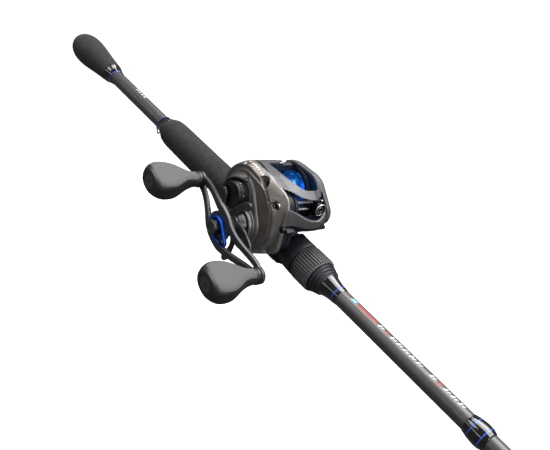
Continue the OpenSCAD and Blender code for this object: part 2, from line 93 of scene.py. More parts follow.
def new_material(name):
    """A node material and its parts."""
    mat = bpy.data.materials.new(name)
    mat.use_nodes = True
    nodes = mat.node_tree.nodes
    bsdf = nodes["Principled BSDF"]
    return mat, nodes, mat.node_tree.links, bsdf


def coords(nodes, links, scale=(1, 1, 1)):
    """Object coordinates in metres, stretched along each axis."""
    tex = nodes.new("ShaderNodeTexCoord")
    mapping = nodes.new("ShaderNodeMapping")
    mapping.inputs["Scale"].default_value = scale
    links.new(tex.outputs["Object"], mapping.inputs["Vector"])
    return mapping.outputs["Vector"]


def noise(nodes, links, vector, scale, detail=3.0, rough=0.55):
    n = nodes.new("ShaderNodeTexNoise")
    n.inputs["Scale"].default_value = scale
    n.inputs["Detail"].default_value = detail
    n.inputs["Roughness"].default_value = rough
    links.new(vector, n.inputs["Vector"])
    return n.outputs["Fac"]


def ramp(nodes, links, fac, stops):
    r = nodes.new("ShaderNodeValToRGB")
    r.color_ramp.elements[0].position = stops[0][0]
    r.color_ramp.elements[0].color = (*stops[0][1], 1)
    r.color_ramp.elements[1].position = stops[-1][0]
    r.color_ramp.elements[1].color = (*stops[-1][1], 1)
    for place, colour in stops[1:-1]:
        e = r.color_ramp.elements.new(place)
        e.color = (*colour, 1)
    links.new(fac, r.inputs["Fac"])
    return r.outputs["Color"]


def spread(nodes, links, fac, low, high):
    m = nodes.new("ShaderNodeMapRange")
    m.inputs["To Min"].default_value = low
    m.inputs["To Max"].default_value = high
    links.new(fac, m.inputs["Value"])
    return m.outputs["Result"]


def bump(nodes, links, bsdf, height, strength, distance_mm, after=None):
    b = nodes.new("ShaderNodeBump")
    b.inputs["Strength"].default_value = strength
    b.inputs["Distance"].default_value = distance_mm * MM
    links.new(height, b.inputs["Height"])
    if after is not None:
        links.new(after, b.inputs["Normal"])
    links.new(b.outputs["Normal"], bsdf.inputs["Normal"])
    return b.outputs["Normal"]


def shade(colour, factor):
    """A colour made lighter or darker."""
    return tuple(c * factor for c in colour)


def grained(name, colour, metal=0.0, rough=(0.35, 0.5), grain=900.0, depth=0.02, contrast=0.12,
            coat=0.0, coat_rough=0.1, sheen=0.0, specular=0.5):
    """Moulded, painted or cast finish: fine grain, slight blotches, roughness that varies with both."""
    mat, nodes, links, bsdf = new_material(name)
    vec = coords(nodes, links)
    fine = noise(nodes, links, vec, grain, 4.0)
    broad = noise(nodes, links, vec, 45.0, 2.0)
    mixed = nodes.new("ShaderNodeMath")
    mixed.operation = "ADD"
    links.new(fine, mixed.inputs[0])
    links.new(broad, mixed.inputs[1])
    half = nodes.new("ShaderNodeMath")
    half.operation = "MULTIPLY"
    half.inputs[1].default_value = 0.5
    links.new(mixed.outputs[0], half.inputs[0])
    tone = ramp(nodes, links, half.outputs[0], [
        (0.35, shade(colour, 1 - contrast)), (0.65, shade(colour, 1 + contrast))])
    links.new(tone, bsdf.inputs["Base Color"])
    links.new(spread(nodes, links, half.outputs[0], *rough), bsdf.inputs["Roughness"])
    bump(nodes, links, bsdf, fine, 0.5, depth)
    bsdf.inputs["Metallic"].default_value = metal
    bsdf.inputs["Specular IOR Level"].default_value = specular
    bsdf.inputs["Coat Weight"].default_value = coat
    bsdf.inputs["Coat Roughness"].default_value = coat_rough
    if sheen:
        bsdf.inputs["Sheen Weight"].default_value = sheen
        bsdf.inputs["Sheen Roughness"].default_value = 0.5
    return mat


def turned(name, colour, metal=1.0, rough=0.25, rings=2500.0, contrast=0.15):
    """Turned metal whose tool marks run round the axis along Y."""
    mat, nodes, links, bsdf = new_material(name)
    vec = coords(nodes, links, (0.15, 1, 0.15))
    lines = noise(nodes, links, vec, rings, 2.0, 0.6)
    tone = ramp(nodes, links, lines, [
        (0.3, shade(colour, 1 - contrast)), (0.7, shade(colour, 1 + contrast))])
    links.new(tone, bsdf.inputs["Base Color"])
    links.new(spread(nodes, links, lines, rough * 0.7, rough * 1.4), bsdf.inputs["Roughness"])
    bump(nodes, links, bsdf, lines, 0.25, 0.01)
    bsdf.inputs["Metallic"].default_value = metal
    return mat


def foam(name):
    """Closed-cell foam: dense fine pores, a few larger ones, soft mottling."""
    mat, nodes, links, bsdf = new_material(name)
    vec = coords(nodes, links)
    cells = nodes.new("ShaderNodeTexVoronoi")
    cells.inputs["Scale"].default_value = 1500.0
    links.new(vec, cells.inputs["Vector"])
    fine = noise(nodes, links, vec, 1100.0, 5.0, 0.7)
    broad = noise(nodes, links, vec, 210.0, 5.0, 0.7)
    mixed = nodes.new("ShaderNodeMath")
    mixed.operation = "MULTIPLY_ADD"
    mixed.inputs[1].default_value = 0.45
    links.new(fine, mixed.inputs[0])
    scaled = spread(nodes, links, broad, 0.05, 0.55)
    links.new(scaled, mixed.inputs[2])
    tone = ramp(nodes, links, mixed.outputs[0], [
        (0.25, (0.006, 0.006, 0.006)), (0.52, (0.021, 0.019, 0.018)), (0.80, (0.052, 0.048, 0.045))])
    links.new(tone, bsdf.inputs["Base Color"])
    links.new(spread(nodes, links, fine, 0.78, 0.98), bsdf.inputs["Roughness"])
    first = bump(nodes, links, bsdf, cells.outputs["Distance"], 0.5, 0.12)
    bump(nodes, links, bsdf, broad, 0.35, 0.5, first)
    bsdf.inputs["Specular IOR Level"].default_value = 0.25
    bsdf.inputs["Sheen Weight"].default_value = 0.05
    bsdf.inputs["Sheen Roughness"].default_value = 0.6
    return mat


def blank_finish(name):
    """Clear-coated composite: faint unidirectional fibre under a satin coat."""
    mat, nodes, links, bsdf = new_material(name)
    vec = coords(nodes, links, (0.06, 1, 1))
    fibre = noise(nodes, links, vec, 1800.0, 3.0, 0.6)
    wraps = nodes.new("ShaderNodeTexWave")
    wraps.wave_type = "BANDS"
    wraps.bands_direction = "X"
    wraps.inputs["Scale"].default_value = 95.0
    wraps.inputs["Distortion"].default_value = 1.5
    wraps.inputs["Detail"].default_value = 1.0
    links.new(coords(nodes, links, (1, 0.5, 0.5)), wraps.inputs["Vector"])
    tone = ramp(nodes, links, fibre, [(0.3, (0.050, 0.048, 0.047)), (0.7, (0.060, 0.058, 0.056))])
    links.new(tone, bsdf.inputs["Base Color"])
    links.new(spread(nodes, links, fibre, 0.36, 0.5), bsdf.inputs["Roughness"])
    first = bump(nodes, links, bsdf, wraps.outputs["Fac"], 0.05, 0.02)
    bump(nodes, links, bsdf, fibre, 0.08, 0.006, first)
    bsdf.inputs["Coat Weight"].default_value = 0.4
    bsdf.inputs["Coat Roughness"].default_value = 0.16
    return mat


def thread_finish(name, colour, turns=2600.0):
    """Whipping thread under thick lacquer: windings along X, glossy coat on top."""
    mat, nodes, links, bsdf = new_material(name)
    wave = nodes.new("ShaderNodeTexWave")
    wave.wave_type = "BANDS"
    wave.bands_direction = "X"
    wave.inputs["Scale"].default_value = turns / 6.0
    wave.inputs["Distortion"].default_value = 0.2
    links.new(coords(nodes, links), wave.inputs["Vector"])
    tone = ramp(nodes, links, wave.outputs["Fac"], [(0.2, shade(colour, 0.7)), (0.8, shade(colour, 1.3))])
    links.new(tone, bsdf.inputs["Base Color"])
    pool = noise(nodes, links, coords(nodes, links), 160.0, 2.0)
    links.new(spread(nodes, links, pool, 0.10, 0.2), bsdf.inputs["Roughness"])
    bump(nodes, links, bsdf, pool, 0.10, 0.25)
    bsdf.inputs["Coat Weight"].default_value = 1.0
    bsdf.inputs["Coat Roughness"].default_value = 0.04
    return mat


M = {}


# name, colour, roughness range, grain per metre, bump in mm, contrast, metal, coats and sheens
GRAINED = {
    "cover": ("cover_paint", (0.205, 0.192, 0.18), (0.34, 0.44), 2600.0, 0.012, 0.07, 0.55,
              {"coat": 0.18, "coat_rough": 0.3}),
    # darker copy of the cover paint for the spool boss and the wall behind the tension knob: painted shade
    "cover_painted_shade": ("cover_paint_painted_shade", (0.085, 0.083, 0.082), (0.36, 0.5), 2600.0, 0.012, 0.08, 0.45,
                   {}),
    "hood": ("hood_paint", (0.098, 0.098, 0.104), (0.42, 0.52), 2600.0, 0.012, 0.06, 0.35,
             {"coat": 0.08, "coat_rough": 0.3}),
    "frame": ("frame_black_nylon", (0.016, 0.017, 0.024), (0.34, 0.5), 1500.0, 0.02, 0.15, 0.0, {}),
    "seat": ("seat_black_nylon", (0.02, 0.02, 0.027), (0.38, 0.52), 1300.0, 0.025, 0.15, 0.0, {}),
    "nut": ("nut_grey_nylon", (0.06, 0.061, 0.064), (0.4, 0.55), 1300.0, 0.025, 0.12, 0.0, {}),
    "slide": ("slide_dark_nylon", (0.013, 0.013, 0.018), (0.42, 0.55), 1300.0, 0.025, 0.12, 0.0, {}),
    "crank": ("crank_dark_paint", (0.058, 0.058, 0.061), (0.33, 0.45), 2400.0, 0.012, 0.08, 0.5,
              {"coat": 0.2, "coat_rough": 0.25}),
    "gloss": ("knob_black_gloss", (0.008, 0.008, 0.009), (0.26, 0.34), 1800.0, 0.003, 0.15, 0.0,
              {"coat": 0.15, "coat_rough": 0.18}),
    "knob": ("knob_soft_face", (0.07, 0.072, 0.075), (0.55, 0.72), 1900.0, 0.02, 0.06, 0.0,
             {"sheen": 0.25, "specular": 0.35}),
    # darker copy of the soft knob material for the knob's sides and ends: painted shade
    "knob_side_painted_shade": ("knob_soft_side_painted_shade", (0.013, 0.013, 0.014), (0.42, 0.55), 1900.0, 0.02, 0.1, 0.0, {}),
    "cap": ("knob_cap_matt", (0.04, 0.04, 0.042), (0.5, 0.65), 1700.0, 0.02, 0.1, 0.0, {}),
    "blue": ("blue_anodised_cast", (0.02, 0.115, 0.72), (0.26, 0.36), 2500.0, 0.006, 0.06, 0.85, {}),
    "acetal": ("acetal_gear", (0.7, 0.68, 0.62), (0.35, 0.5), 900.0, 0.01, 0.05, 0.0, {}),
    "fibre": ("drag_fibre_weave", (0.045, 0.045, 0.047), (0.5, 0.7), 700.0, 0.05, 0.3, 0.0, {}),
    "guide": ("guide_black_plate", (0.03, 0.03, 0.032), (0.22, 0.34), 2200.0, 0.006, 0.1, 0.9, {}),
    "ceramic": ("ceramic_pale", (0.52, 0.52, 0.5), (0.12, 0.2), 1500.0, 0.004, 0.05, 0.0,
                {"coat": 0.5, "coat_rough": 0.05}),
    "ring": ("ceramic_black", (0.018, 0.018, 0.02), (0.1, 0.18), 1500.0, 0.004, 0.1, 0.0,
             {"coat": 0.6, "coat_rough": 0.05}),
    "white_mark": ("pale_mark_ink", (0.62, 0.61, 0.6), (0.4, 0.5), 1500.0, 0.004, 0.05, 0.0, {}),
    "orange_mark": ("orange_mark_ink", (0.62, 0.1, 0.03), (0.4, 0.5), 1500.0, 0.004, 0.05, 0.0, {}),
    "red_mark": ("red_mark_ink", (0.42, 0.035, 0.03), (0.4, 0.5), 1500.0, 0.004, 0.05, 0.0, {}),
    "blue_mark": ("pale_blue_mark_ink", (0.16, 0.42, 0.7), (0.4, 0.5), 1500.0, 0.004, 0.05, 0.0, {}),
}


def make_materials():
    """Fills M with the materials by their short keys."""
    M["foam"] = foam("grip_foam_skin")
    M["blank"] = blank_finish("composite_blank")
    M["lacquer"] = thread_finish("black_wrap_lacquer", (0.006, 0.006, 0.007))
    M["blue_ring"] = thread_finish("blue_ring_thread", (0.02, 0.10, 0.62))
    M["spool"] = turned("blue_anodised_turned", (0.03, 0.30, 1.0), metal=0.6, rough=0.2)
    M["steel"] = turned("turned_steel", (0.72, 0.73, 0.76), metal=0.8, rough=0.3)
    M["screw"] = turned("black_oxide_screw", (0.055, 0.055, 0.057), rough=0.35)
    M["bright_screw"] = turned("bright_screw_head", (0.42, 0.40, 0.38), rough=0.3)
    M["brass"] = turned("machined_brass", (0.62, 0.44, 0.16), rough=0.3)
    for key, (name, colour, rough, grain, depth, contrast, metal, more) in GRAINED.items():
        M[key] = grained(name, colour, metal, rough, grain, depth, contrast, **more)


# ---- mesh helpers (all lengths in mm) ----

def add_mesh(name, verts, faces, material, body, slot=None, stands_for=(), angle=35.0):
    """A mesh piece riding on a body, shaded smooth below the given angle; the slot argument is not used."""
    mesh = bpy.data.meshes.new(name)
    mesh.from_pydata([tuple(c * MM for c in v) for v in verts], [], faces)
    bm = bmesh.new()
    bm.from_mesh(mesh)
    bmesh.ops.remove_doubles(bm, verts=bm.verts, dist=1e-7)
    bmesh.ops.recalc_face_normals(bm, faces=bm.faces)
    bm.to_mesh(mesh)
    bm.free()
    obj = bpy.data.objects.new(name, mesh)
    bpy.context.scene.collection.objects.link(obj)
    obj.data.materials.append(M[material])
    smooth_by_angle(obj, angle)
    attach(obj, body)
    if stands_for:
        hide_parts(*stands_for)
    return obj


def smooth_by_angle(obj, angle):
    mesh = obj.data
    mesh.polygons.foreach_set("use_smooth", [True] * len(mesh.polygons))
    bm = bmesh.new()
    bm.from_mesh(mesh)
    limit = math.radians(angle)
    for e in bm.edges:
        e.smooth = len(e.link_faces) == 2 and e.calc_face_angle(0) < limit
    bm.to_mesh(mesh)
    bm.free()


def bevel(obj, width, segments=3, angle=40.0):
    m = obj.modifiers.new("edge", "BEVEL")
    m.width = width * MM
    m.segments = segments
    m.limit_method = "ANGLE"
    m.angle_limit = math.radians(angle)
    m.harden_normals = False
    return obj


def subdivide(obj, levels=1):
    m = obj.modifiers.new("smooth", "SUBSURF")
    m.levels = levels
    m.render_levels = levels
    return obj


def bake_modifiers(obj):
    """Applies the modifiers, so that later mesh edits see the final shape."""
    dg = bpy.context.evaluated_depsgraph_get()
    mesh = bpy.data.meshes.new_from_object(obj.evaluated_get(dg))
    obj.modifiers.clear()
    obj.data = mesh
    return obj


def loft(rings, close_ends=True):
    """Faces between closed rings of equal length."""
    n = len(rings[0])
    verts = [p for ring in rings for p in ring]
    faces = []
    for i in range(len(rings) - 1):
        for j in range(n):
            k = (j + 1) % n
            faces.append((i * n + j, i * n + k, (i + 1) * n + k, (i + 1) * n + j))
    if close_ends:
        faces.append(tuple(range(n)))
        faces.append(tuple((len(rings) - 1) * n + j for j in range(n)))
    return verts, faces


def around(axis, centre, r, along, t):
    """A point at angle t and radius r from an axis along X or Y."""
    if axis == "x":
        return (along, centre[1] + r * math.cos(t), centre[2] + r * math.sin(t))
    return (centre[0] + r * math.cos(t), along, centre[2] + r * math.sin(t))


def lathe(name, axis, centre, profile, material, body, seg=96, **kw):
    """Turns (along, radius) points about an axis; points that end where they start make a ring."""
    ring = profile[0] == profile[-1]
    rows = profile[:-1] if ring else profile
    rings = [[around(axis, centre, r, a, 2 * PI * j / seg) for j in range(seg)] for a, r in rows]
    if ring:
        verts, faces = loft(rings + [rings[0]], close_ends=False)
    else:
        verts, faces = loft(rings)
    return add_mesh(name, verts, faces, material, body, **kw)


def fillet(points, radius=0.5, steps=4):
    """Rounds the corners of a polyline with short curves; the ends stay."""
    out = [points[0]]
    for a, b, c in zip(points, points[1:], points[2:]):
        va, vb, vc = Vector(a), Vector(b), Vector(c)
        r = min(radius, (va - vb).length * 0.45, (vc - vb).length * 0.45)
        p = vb + (va - vb).normalized() * r
        q = vb + (vc - vb).normalized() * r
        for i in range(steps + 1):
            t = i / steps
            out.append(tuple((p * (1 - t) + vb * t) * (1 - t) + (vb * (1 - t) + q * t) * t))
    out.append(points[-1])
    return out


def fillet_loop(points, radius=1.0, steps=5):
    """Rounds every corner of a closed outline."""
    n = len(points)
    out = []
    for i in range(n):
        va, vb, vc = Vector(points[i - 1]), Vector(points[i]), Vector(points[(i + 1) % n])
        r = min(radius, (va - vb).length * 0.45, (vc - vb).length * 0.45)
        p = vb + (va - vb).normalized() * r
        q = vb + (vc - vb).normalized() * r
        for k in range(steps + 1):
            t = k / steps
            out.append(tuple((p * (1 - t) + vb * t) * (1 - t) + (vb * (1 - t) + q * t) * t))
    return out


def circle(centre, r, seg):
    """Points (x, z) round a centre (x, z)."""
    return [(centre[0] + r * math.cos(2 * PI * j / seg), centre[1] + r * math.sin(2 * PI * j / seg))
            for j in range(seg)]


def beside(place, offsets):
    """Points (x, z) at the given offsets from a place in the frame."""
    return [(place.x + x, place.z + z) for x, z in offsets]


def plate_y(name, outline, y0, y1, material, body, holes=(), round_edge=0.3, **kw):
    """A flat part drawn in X and Z between two Y stations, with its edges rounded."""
    bm = bmesh.new()
    loops = [outline, *holes]
    edges = []
    for pts in loops:
        vs = [bm.verts.new((p[0] * MM, y0 * MM, p[1] * MM)) for p in pts]
        edges += [bm.edges.new((vs[i], vs[(i + 1) % len(vs)])) for i in range(len(vs))]
    bmesh.ops.triangle_fill(bm, use_beauty=True, use_dissolve=True, edges=edges, normal=(0, 1, 0))
    made = bmesh.ops.extrude_face_region(bm, geom=bm.faces[:])
    top = [v for v in made["geom"] if isinstance(v, bmesh.types.BMVert)]
    bmesh.ops.translate(bm, verts=top, vec=(0, (y1 - y0) * MM, 0))
    bmesh.ops.recalc_face_normals(bm, faces=bm.faces)
    verts = [tuple(c / MM for c in v.co) for v in bm.verts]
    bm.verts.index_update()
    faces = [tuple(v.index for v in f.verts) for f in bm.faces]
    bm.free()
    obj = add_mesh(name, verts, faces, material, body, **kw)
    if round_edge:
        bevel(obj, round_edge, 3, 50.0)
    return obj


def tube(name, path, radius, material, body, seg=16, **kw):
    """A round bar along a path of points."""
    pts = [Vector(p) for p in path]
    last = len(pts) - 1
    rings = []
    side = None
    for i, p in enumerate(pts):
        along = (pts[min(last, i + 1)] - pts[max(0, i - 1)]).normalized()
        if side is None:
            side = along.orthogonal().normalized()
        side = (side - along * side.dot(along)).normalized()
        other = along.cross(side)
        rings.append([tuple(p + (side * math.cos(t) + other * math.sin(t)) * radius)
                      for t in (2 * PI * j / seg for j in range(seg))])
    verts, faces = loft(rings)
    return add_mesh(name, verts, faces, material, body, **kw)


def curve_points(points, steps=8):
    """A smooth curve through the points (Catmull-Rom)."""
    pts = [Vector(p) for p in points]
    pts = [pts[0] * 2 - pts[1]] + pts + [pts[-1] * 2 - pts[-2]]
    out = []
    for i in range(1, len(pts) - 2):
        p0, p1, p2, p3 = pts[i - 1:i + 3]
        for k in range(steps):
            t = k / steps
            out.append(0.5 * (2 * p1 + (p2 - p0) * t + (2 * p0 - 5 * p1 + 4 * p2 - p3) * t * t
                              + (3 * p1 - p0 - 3 * p2 + p3) * t ** 3))
    out.append(pts[-2])
    return out


def hull_radius(lobes, centre, angle, grow=0.0):
    """Distance from centre to the outline that wraps round (x, z, r) circles, in the direction angle."""
    best = 1e9
    for k in range(-80, 81):
        off = math.radians(k)
        t = angle + off
        reach = max((x - centre[0]) * math.cos(t) + (z - centre[1]) * math.sin(t) + r + grow
                    for x, z, r in lobes)
        best = min(best, reach / math.cos(off))
    return best


def outline_ring(lobes, y, grow=0.0, n=160, centre=None):
    """The outline round the lobes as a ring of points at station y."""
    cx, cz = centre or COVER_MID
    ring = []
    for j in range(n):
        t = 2 * PI * j / n
        r = hull_radius(lobes, (cx, cz), t, grow)
        ring.append((cx + r * math.cos(t), y, cz + r * math.sin(t)))
    return ring


COVER_MID = ((CRANK.x + SPOOL.x) / 2 + 6, (CRANK.z + SPOOL.z) / 2 + 2)


# ---- rod ----

def rod_pieces():
    """Foam grips, lacquered checks and wraps, blue rings, hook keeper and printed marks."""
    lathe("butt_grip_foam", "x", ROD_AXIS, fillet([
        (3.2, 0.0), (3.2, 7.1), (6.0, 9.7), (11.0, 12.4), (18.0, 14.0), (26.0, 14.4), (33.0, 14.2),
        (44.0, 13.1), (58.0, 11.5), (72.0, 10.1), (79.0, 9.6), (80.0, 9.2), (80.0, 6.6)], 5.0, 6),
        "foam", "rod", seg=128, stands_for=("butt_grip",))
    lathe("rear_grip_foam", "x", ROD_AXIS, fillet([
        (195.0, 6.6), (195.0, 8.8), (196.2, 10.1), (200.0, 11.4), (206.0, 12.05), (268.0, 12.15),
        (297.0, 12.25), (298.5, 11.6), (298.5, 6.6)], 3.0, 6), "foam", "rod", seg=128,
        stands_for=("rear_grip",))
    check_cone("butt_check", 80.0, 1, 9.35, 7.35)
    check_cone("rear_check", 195.0, -1, 9.1, 7.2)
    lathe("front_check_lacquer", "x", ROD_AXIS, fillet([
        (409.0, 5.6), (409.0, 8.1), (411.0, 8.0), (413.5, 7.35), (416.5, 6.75), (420.0, 6.35), (423.0, 6.1),
        (424.0, 5.85), (424.0, 5.5)], 2.0, 6), "lacquer", "rod", seg=128,
        stands_for=("front_winding_check",))
    wrap_end = FERRULE_X
    lathe("ferrule_lacquer", "x", ROD_AXIS, fillet([
        (wrap_end - 14.5, 5.4), (wrap_end - 14.5, 5.8), (wrap_end - 12.5, 6.3), (wrap_end - 9.5, 6.85),
        (wrap_end - 6.0, 7.2), (wrap_end - 3.0, 7.0), (wrap_end - 0.3, 6.1), (wrap_end, 5.6)], 2.5, 8),
        "lacquer", "rod", seg=128, stands_for=("ferrule_wrap",))
    first = ring_band("trim_ring_butt", 90.2, 7.14)
    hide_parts("trim_rings")
    ring_band("trim_ring_rear", 184.8, 7.0)
    ring_band("trim_ring_front", 420.6, 6.32)
    ring_band("trim_ring_ferrule_a", wrap_end - 10.2, 6.72)
    ring_band("trim_ring_ferrule_b", wrap_end - 3.0, 6.98)
    loop = curve_points([(173, 0, -6.5), (174.5, 0, -7.3), (176.5, 0, -9.5), (179, 0, -11.9), (181.5, 0, -9.5),
                         (183.5, 0, -7.3), (185, 0, -6.5)], 6)
    tube("hook_keeper_loop", loop, 0.55, "guide", "rod", stands_for=("hook_keeper",))
    blank_marks()


def check_cone(name, x, way, r_big, r_end):
    """Lacquered taper from a grip at x down to the blank; way is 1 towards the tip."""
    lathe(name + "_lacquer", "x", ROD_AXIS, fillet([
        (x, 6.2), (x, r_big), (x + way * 1.2, r_big), (x + way * 4.4, r_end + 0.7),
        (x + way * 6.8, r_end + 0.1), (x + way * 10.2, r_end - 0.3), (x + way * 10.9, r_end - 0.7),
        (x + way * 10.9, 6.2)], 1.2, 6),
        "lacquer", "rod", seg=128,
        stands_for=("butt_winding_check" if way > 0 else "rear_winding_check",))


def ring_band(name, x, r):
    """Thin blue ring round the rod."""
    return lathe(name, "x", ROD_AXIS, [
        (x - 0.32, r - 0.3), (x - 0.3, r + 0.0), (x - 0.15, r + 0.06), (x + 0.15, r + 0.06), (x + 0.3, r + 0.0),
        (x + 0.32, r - 0.3), (x - 0.32, r - 0.3)], "blue_ring", "rod", seg=128)


def skin_patch(name, x0, x1, a0, a1, material, slant=0.0, lift=0.035):
    """A thin printed patch on the blank between two stations and two angles (degrees from +Y)."""
    rows = 8
    verts = []
    faces = []
    for i in range(rows + 1):
        t = i / rows
        a = math.radians(a0 + (a1 - a0) * t)
        shift = slant * (t - 0.5)
        for x in (x0 + shift, x1 + shift):
            r = blank_r(x) + lift
            verts.append((x, r * math.cos(a), r * math.sin(a)))
    for i in range(rows):
        faces.append((2 * i, 2 * i + 1, 2 * i + 3, 2 * i + 2))
    return add_mesh(name, verts, faces, material, "rod", slot="blank")


def blank_marks():
    """Plain bars and dashes in the places where the blank carries print."""
    skin_patch("mark_block", 431.5, 436.0, 84, 108, "blue_mark", -1.5)
    for i, a in enumerate((86, 99)):
        skin_patch(f"mark_stripe_{i + 1}", 437.5, 455.5, a, a + 7, "red_mark")
    first, pitch = 457.0, 5.35
    for i in range(13):
        x = first + pitch * i
        if i == 7:
            continue
        if i in (1, 9):
            for k, a in enumerate((87, 100)):
                skin_patch(f"mark_accent_{i + 1}_{k + 1}", x, x + 3.2, a, a + 7, "red_mark", -0.8)
        else:
            skin_patch(f"mark_dash_{i + 1}", x, x + 1.5, 85, 109, "white_mark", -1.6)
            skin_patch(f"mark_dot_{i + 1}", x + 2.6, x + 3.5, 88, 106, "white_mark", -1.4)
    for i in range(4):
        x = 129.0 + 5.0 * i
        skin_patch(f"mark_butt_{i + 1}", x, x + 2.6, 82, 98, "white_mark", -1.2)


def seat_pieces():
    """Barrel with its flat and thread, finger trigger, hood and nut."""
    flat = span("reel_frame")[0].z
    seg = 128
    rings = []
    stations = [(271.6, 11.6), (272.2, 12.0), (300, 12.0), (316, 12.0), (317.5, 11.9), (318.5, 11.3),
                (320, 11.1), (366, 11.1), (369.5, 10.6), (371, 10.3), (383.5, 10.3)]
    for x, r in stations:
        cut = flat if 317.6 < x < 372 else 99.0
        rings.append([(x, r * math.cos(2 * PI * j / seg), min(r * math.sin(2 * PI * j / seg), cut))
                      for j in range(seg)])
    verts, faces = loft(rings)
    seat = add_mesh("seat_barrel", verts, faces, "seat", "rod", stands_for=("reel_seat",))
    bevel(seat, 0.25, 2, 50)
    pitch = 2.5
    thread = [(384.0, 5.6), (384.0, 10.3)]
    for k in range(10):
        x = 386.0 + pitch * k
        drop = 0.75 * max(0, k - 7)
        thread += [(x - 0.95, 10.3 - drop), (x - 0.5, 11.1 - drop), (x + 0.5, 11.1 - drop),
                   (x + 0.95, 10.0 - drop)]
    thread += [(410.2, 8.3), (410.5, 7.9), (410.5, 5.6)]
    lathe("seat_thread", "x", ROD_AXIS, fillet(thread, 0.35, 3), "slide", "rod", seg=128)
    spine = curve_points([(319.5, -9.0, 8.5), (322.0, -14.5, 6.2), (325.0, -20.5, 4.8), (326.6, -26.5, 4.6),
                          (327.0, -30.2, 4.1)], 8)
    rings = []
    for i, p in enumerate(spine):
        x, z, half = p.x, p.y, p.z
        width = 4.1 if i < len(spine) - 4 else 4.1 - 0.25 * (i - len(spine) + 5)
        rings.append([(x + half * math.cos(t), width * math.sin(t), z + 0.32 * half * math.cos(t))
                      for t in (2 * PI * j / 48 for j in range(48))])
    tip = rings[-1]
    mid = [sum(c) / 48 for c in zip(*tip)]
    for shrink, drop in ((0.92, 0.9), (0.72, 1.6), (0.35, 2.1)):
        rings.append([tuple(mid[k] + (p[k] - mid[k]) * shrink - (drop if k == 2 else 0) for k in range(3))
                      for p in tip])
    verts, faces = loft(rings)
    add_mesh("seat_trigger", verts, faces, "seat", "rod", angle=60)
    slide_hood()
    nut_piece()


def slide_hood():
    """Sliding hood with the hump over the reel's foot."""
    lo, hi = span("sliding_hood")
    seg = 128
    rings = []
    profile = [(lo.x, 11.75), (lo.x + 0.5, 12.1), (lo.x + 4, 12.25), (lo.x + 8, 12.5), (hi.x - 0.9, 12.75),
               (hi.x, 12.4)]
    for x, r in profile:
        hump = 2.4 * max(0.0, 1 - (x - lo.x) / 12.0)
        ring = []
        for j in range(seg):
            t = 2 * PI * j / seg
            lift = hump * math.exp(-((t - PI / 2) / 0.55) ** 2)
            ring.append((x, (r + lift * 0.4) * math.cos(t), min((r + lift) * math.sin(t), 13.4)))
        rings.append(ring)
    inner = [[(x, 11.55 * math.cos(2 * PI * j / seg), 11.55 * math.sin(2 * PI * j / seg)) for j in range(seg)]
             for x in (hi.x, lo.x)]
    verts, faces = loft(rings + inner + [rings[0]], close_ends=False)
    add_mesh("sliding_hood_shell", verts, faces, "slide", "hood",
             stands_for=("sliding_hood",), angle=50)


def nut_piece():
    """Lock nut with rounded ribs between two collars."""
    lo, hi = span("lock_nut")
    ribs = 40
    per = 10
    seg = ribs * per
    outer = hi.y

    def rib(t, depth):
        wave = math.cos(ribs * t)
        return -depth * (1 / (1 + math.exp(9 * (wave + 0.45))))

    rings = []
    rows = [(lo.x, 11.5, 0), (lo.x, outer - 1.5, 0), (lo.x + 0.5, outer - 1.0, 0),
            (lo.x + 1.1, outer - 0.9, 0.2), (lo.x + 1.7, outer - 0.15, 0.9),
            (lo.x + 2.4, outer, 1.1), (lo.x + 15.6, outer - 0.1, 1.1),
            (lo.x + 16.4, outer - 0.3, 1.0), (lo.x + 16.9, outer - 0.8, 0.6), (lo.x + 17.4, outer - 1.35, 0),
            (hi.x, outer - 1.6, 0), (hi.x, 11.5, 0)]
    for x, r, depth in rows:
        rings.append([around("x", ROD_AXIS, max(r + rib(2 * PI * j / seg, depth), 11.5), x, 2 * PI * j / seg)
                      for j in range(seg)])
    verts, faces = loft(rings + [rings[0]], close_ends=False)
    add_mesh("lock_nut_ribbed", verts, faces, "nut", "nut", stands_for=("lock_nut",), angle=40)


# ---- reel, fixed parts ----

RIGHT_LOBES = [
    (CRANK.x, CRANK.z, 21), (SPOOL.x, SPOOL.z, 22.5), (CRANK.x + 2.5, CRANK.z + 22.5, 17),
    (CRANK.x + 17, CRANK.z + 24, 12.8), (CRANK.x + 24.5, CRANK.z + 1.5, 8)]
CREST_LOBES = [
    (CRANK.x + 1.5, CRANK.z + 0.5, 18.4), (SPOOL.x, SPOOL.z, 20.0), (CRANK.x + 2.5, CRANK.z + 21.5, 13.6),
    (CRANK.x + 12.5, CRANK.z + 15.5, 11.6), (CRANK.x + 17.5, CRANK.z + 4.5, 9.4)]
HOOD_LOBES = [
    (SPOOL.x, SPOOL.z, 22.5), (CRANK.x + 10.5, CRANK.z + 24.5, 16.5), (CRANK.x + 25, CRANK.z + 21.5, 11.5),
    (CRANK.x + 27.5, CRANK.z + 15.5, 9)]
LEFT_LOBES = [
    (CRANK.x - 3.5, CRANK.z + 8.5, 14), (SPOOL.x, SPOOL.z, 22.5), (CRANK.x + 2.5, CRANK.z + 22.5, 17),
    (CRANK.x + 18.5, CRANK.z + 18.5, 10)]


def cut(obj, cutters):
    """Cuts the cutters out of obj, for good."""
    for c in cutters:
        m = obj.modifiers.new("cut", "BOOLEAN")
        m.operation = "DIFFERENCE"
        m.object = c
        m.solver = "EXACT"
    bpy.context.view_layer.update()
    bake_modifiers(obj)
    for c in cutters:
        mesh = c.data
        bpy.data.objects.remove(c)
        bpy.data.meshes.remove(mesh)
    return obj


def cutter(verts, faces, name="cutter"):
    mesh = bpy.data.meshes.new(name)
    mesh.from_pydata([tuple(c * MM for c in v) for v in verts], [], faces)
    bm = bmesh.new()
    bm.from_mesh(mesh)
    bmesh.ops.recalc_face_normals(bm, faces=bm.faces)
    bm.to_mesh(mesh)
    bm.free()
    obj = bpy.data.objects.new(name, mesh)
    bpy.context.scene.collection.objects.link(obj)
    return obj


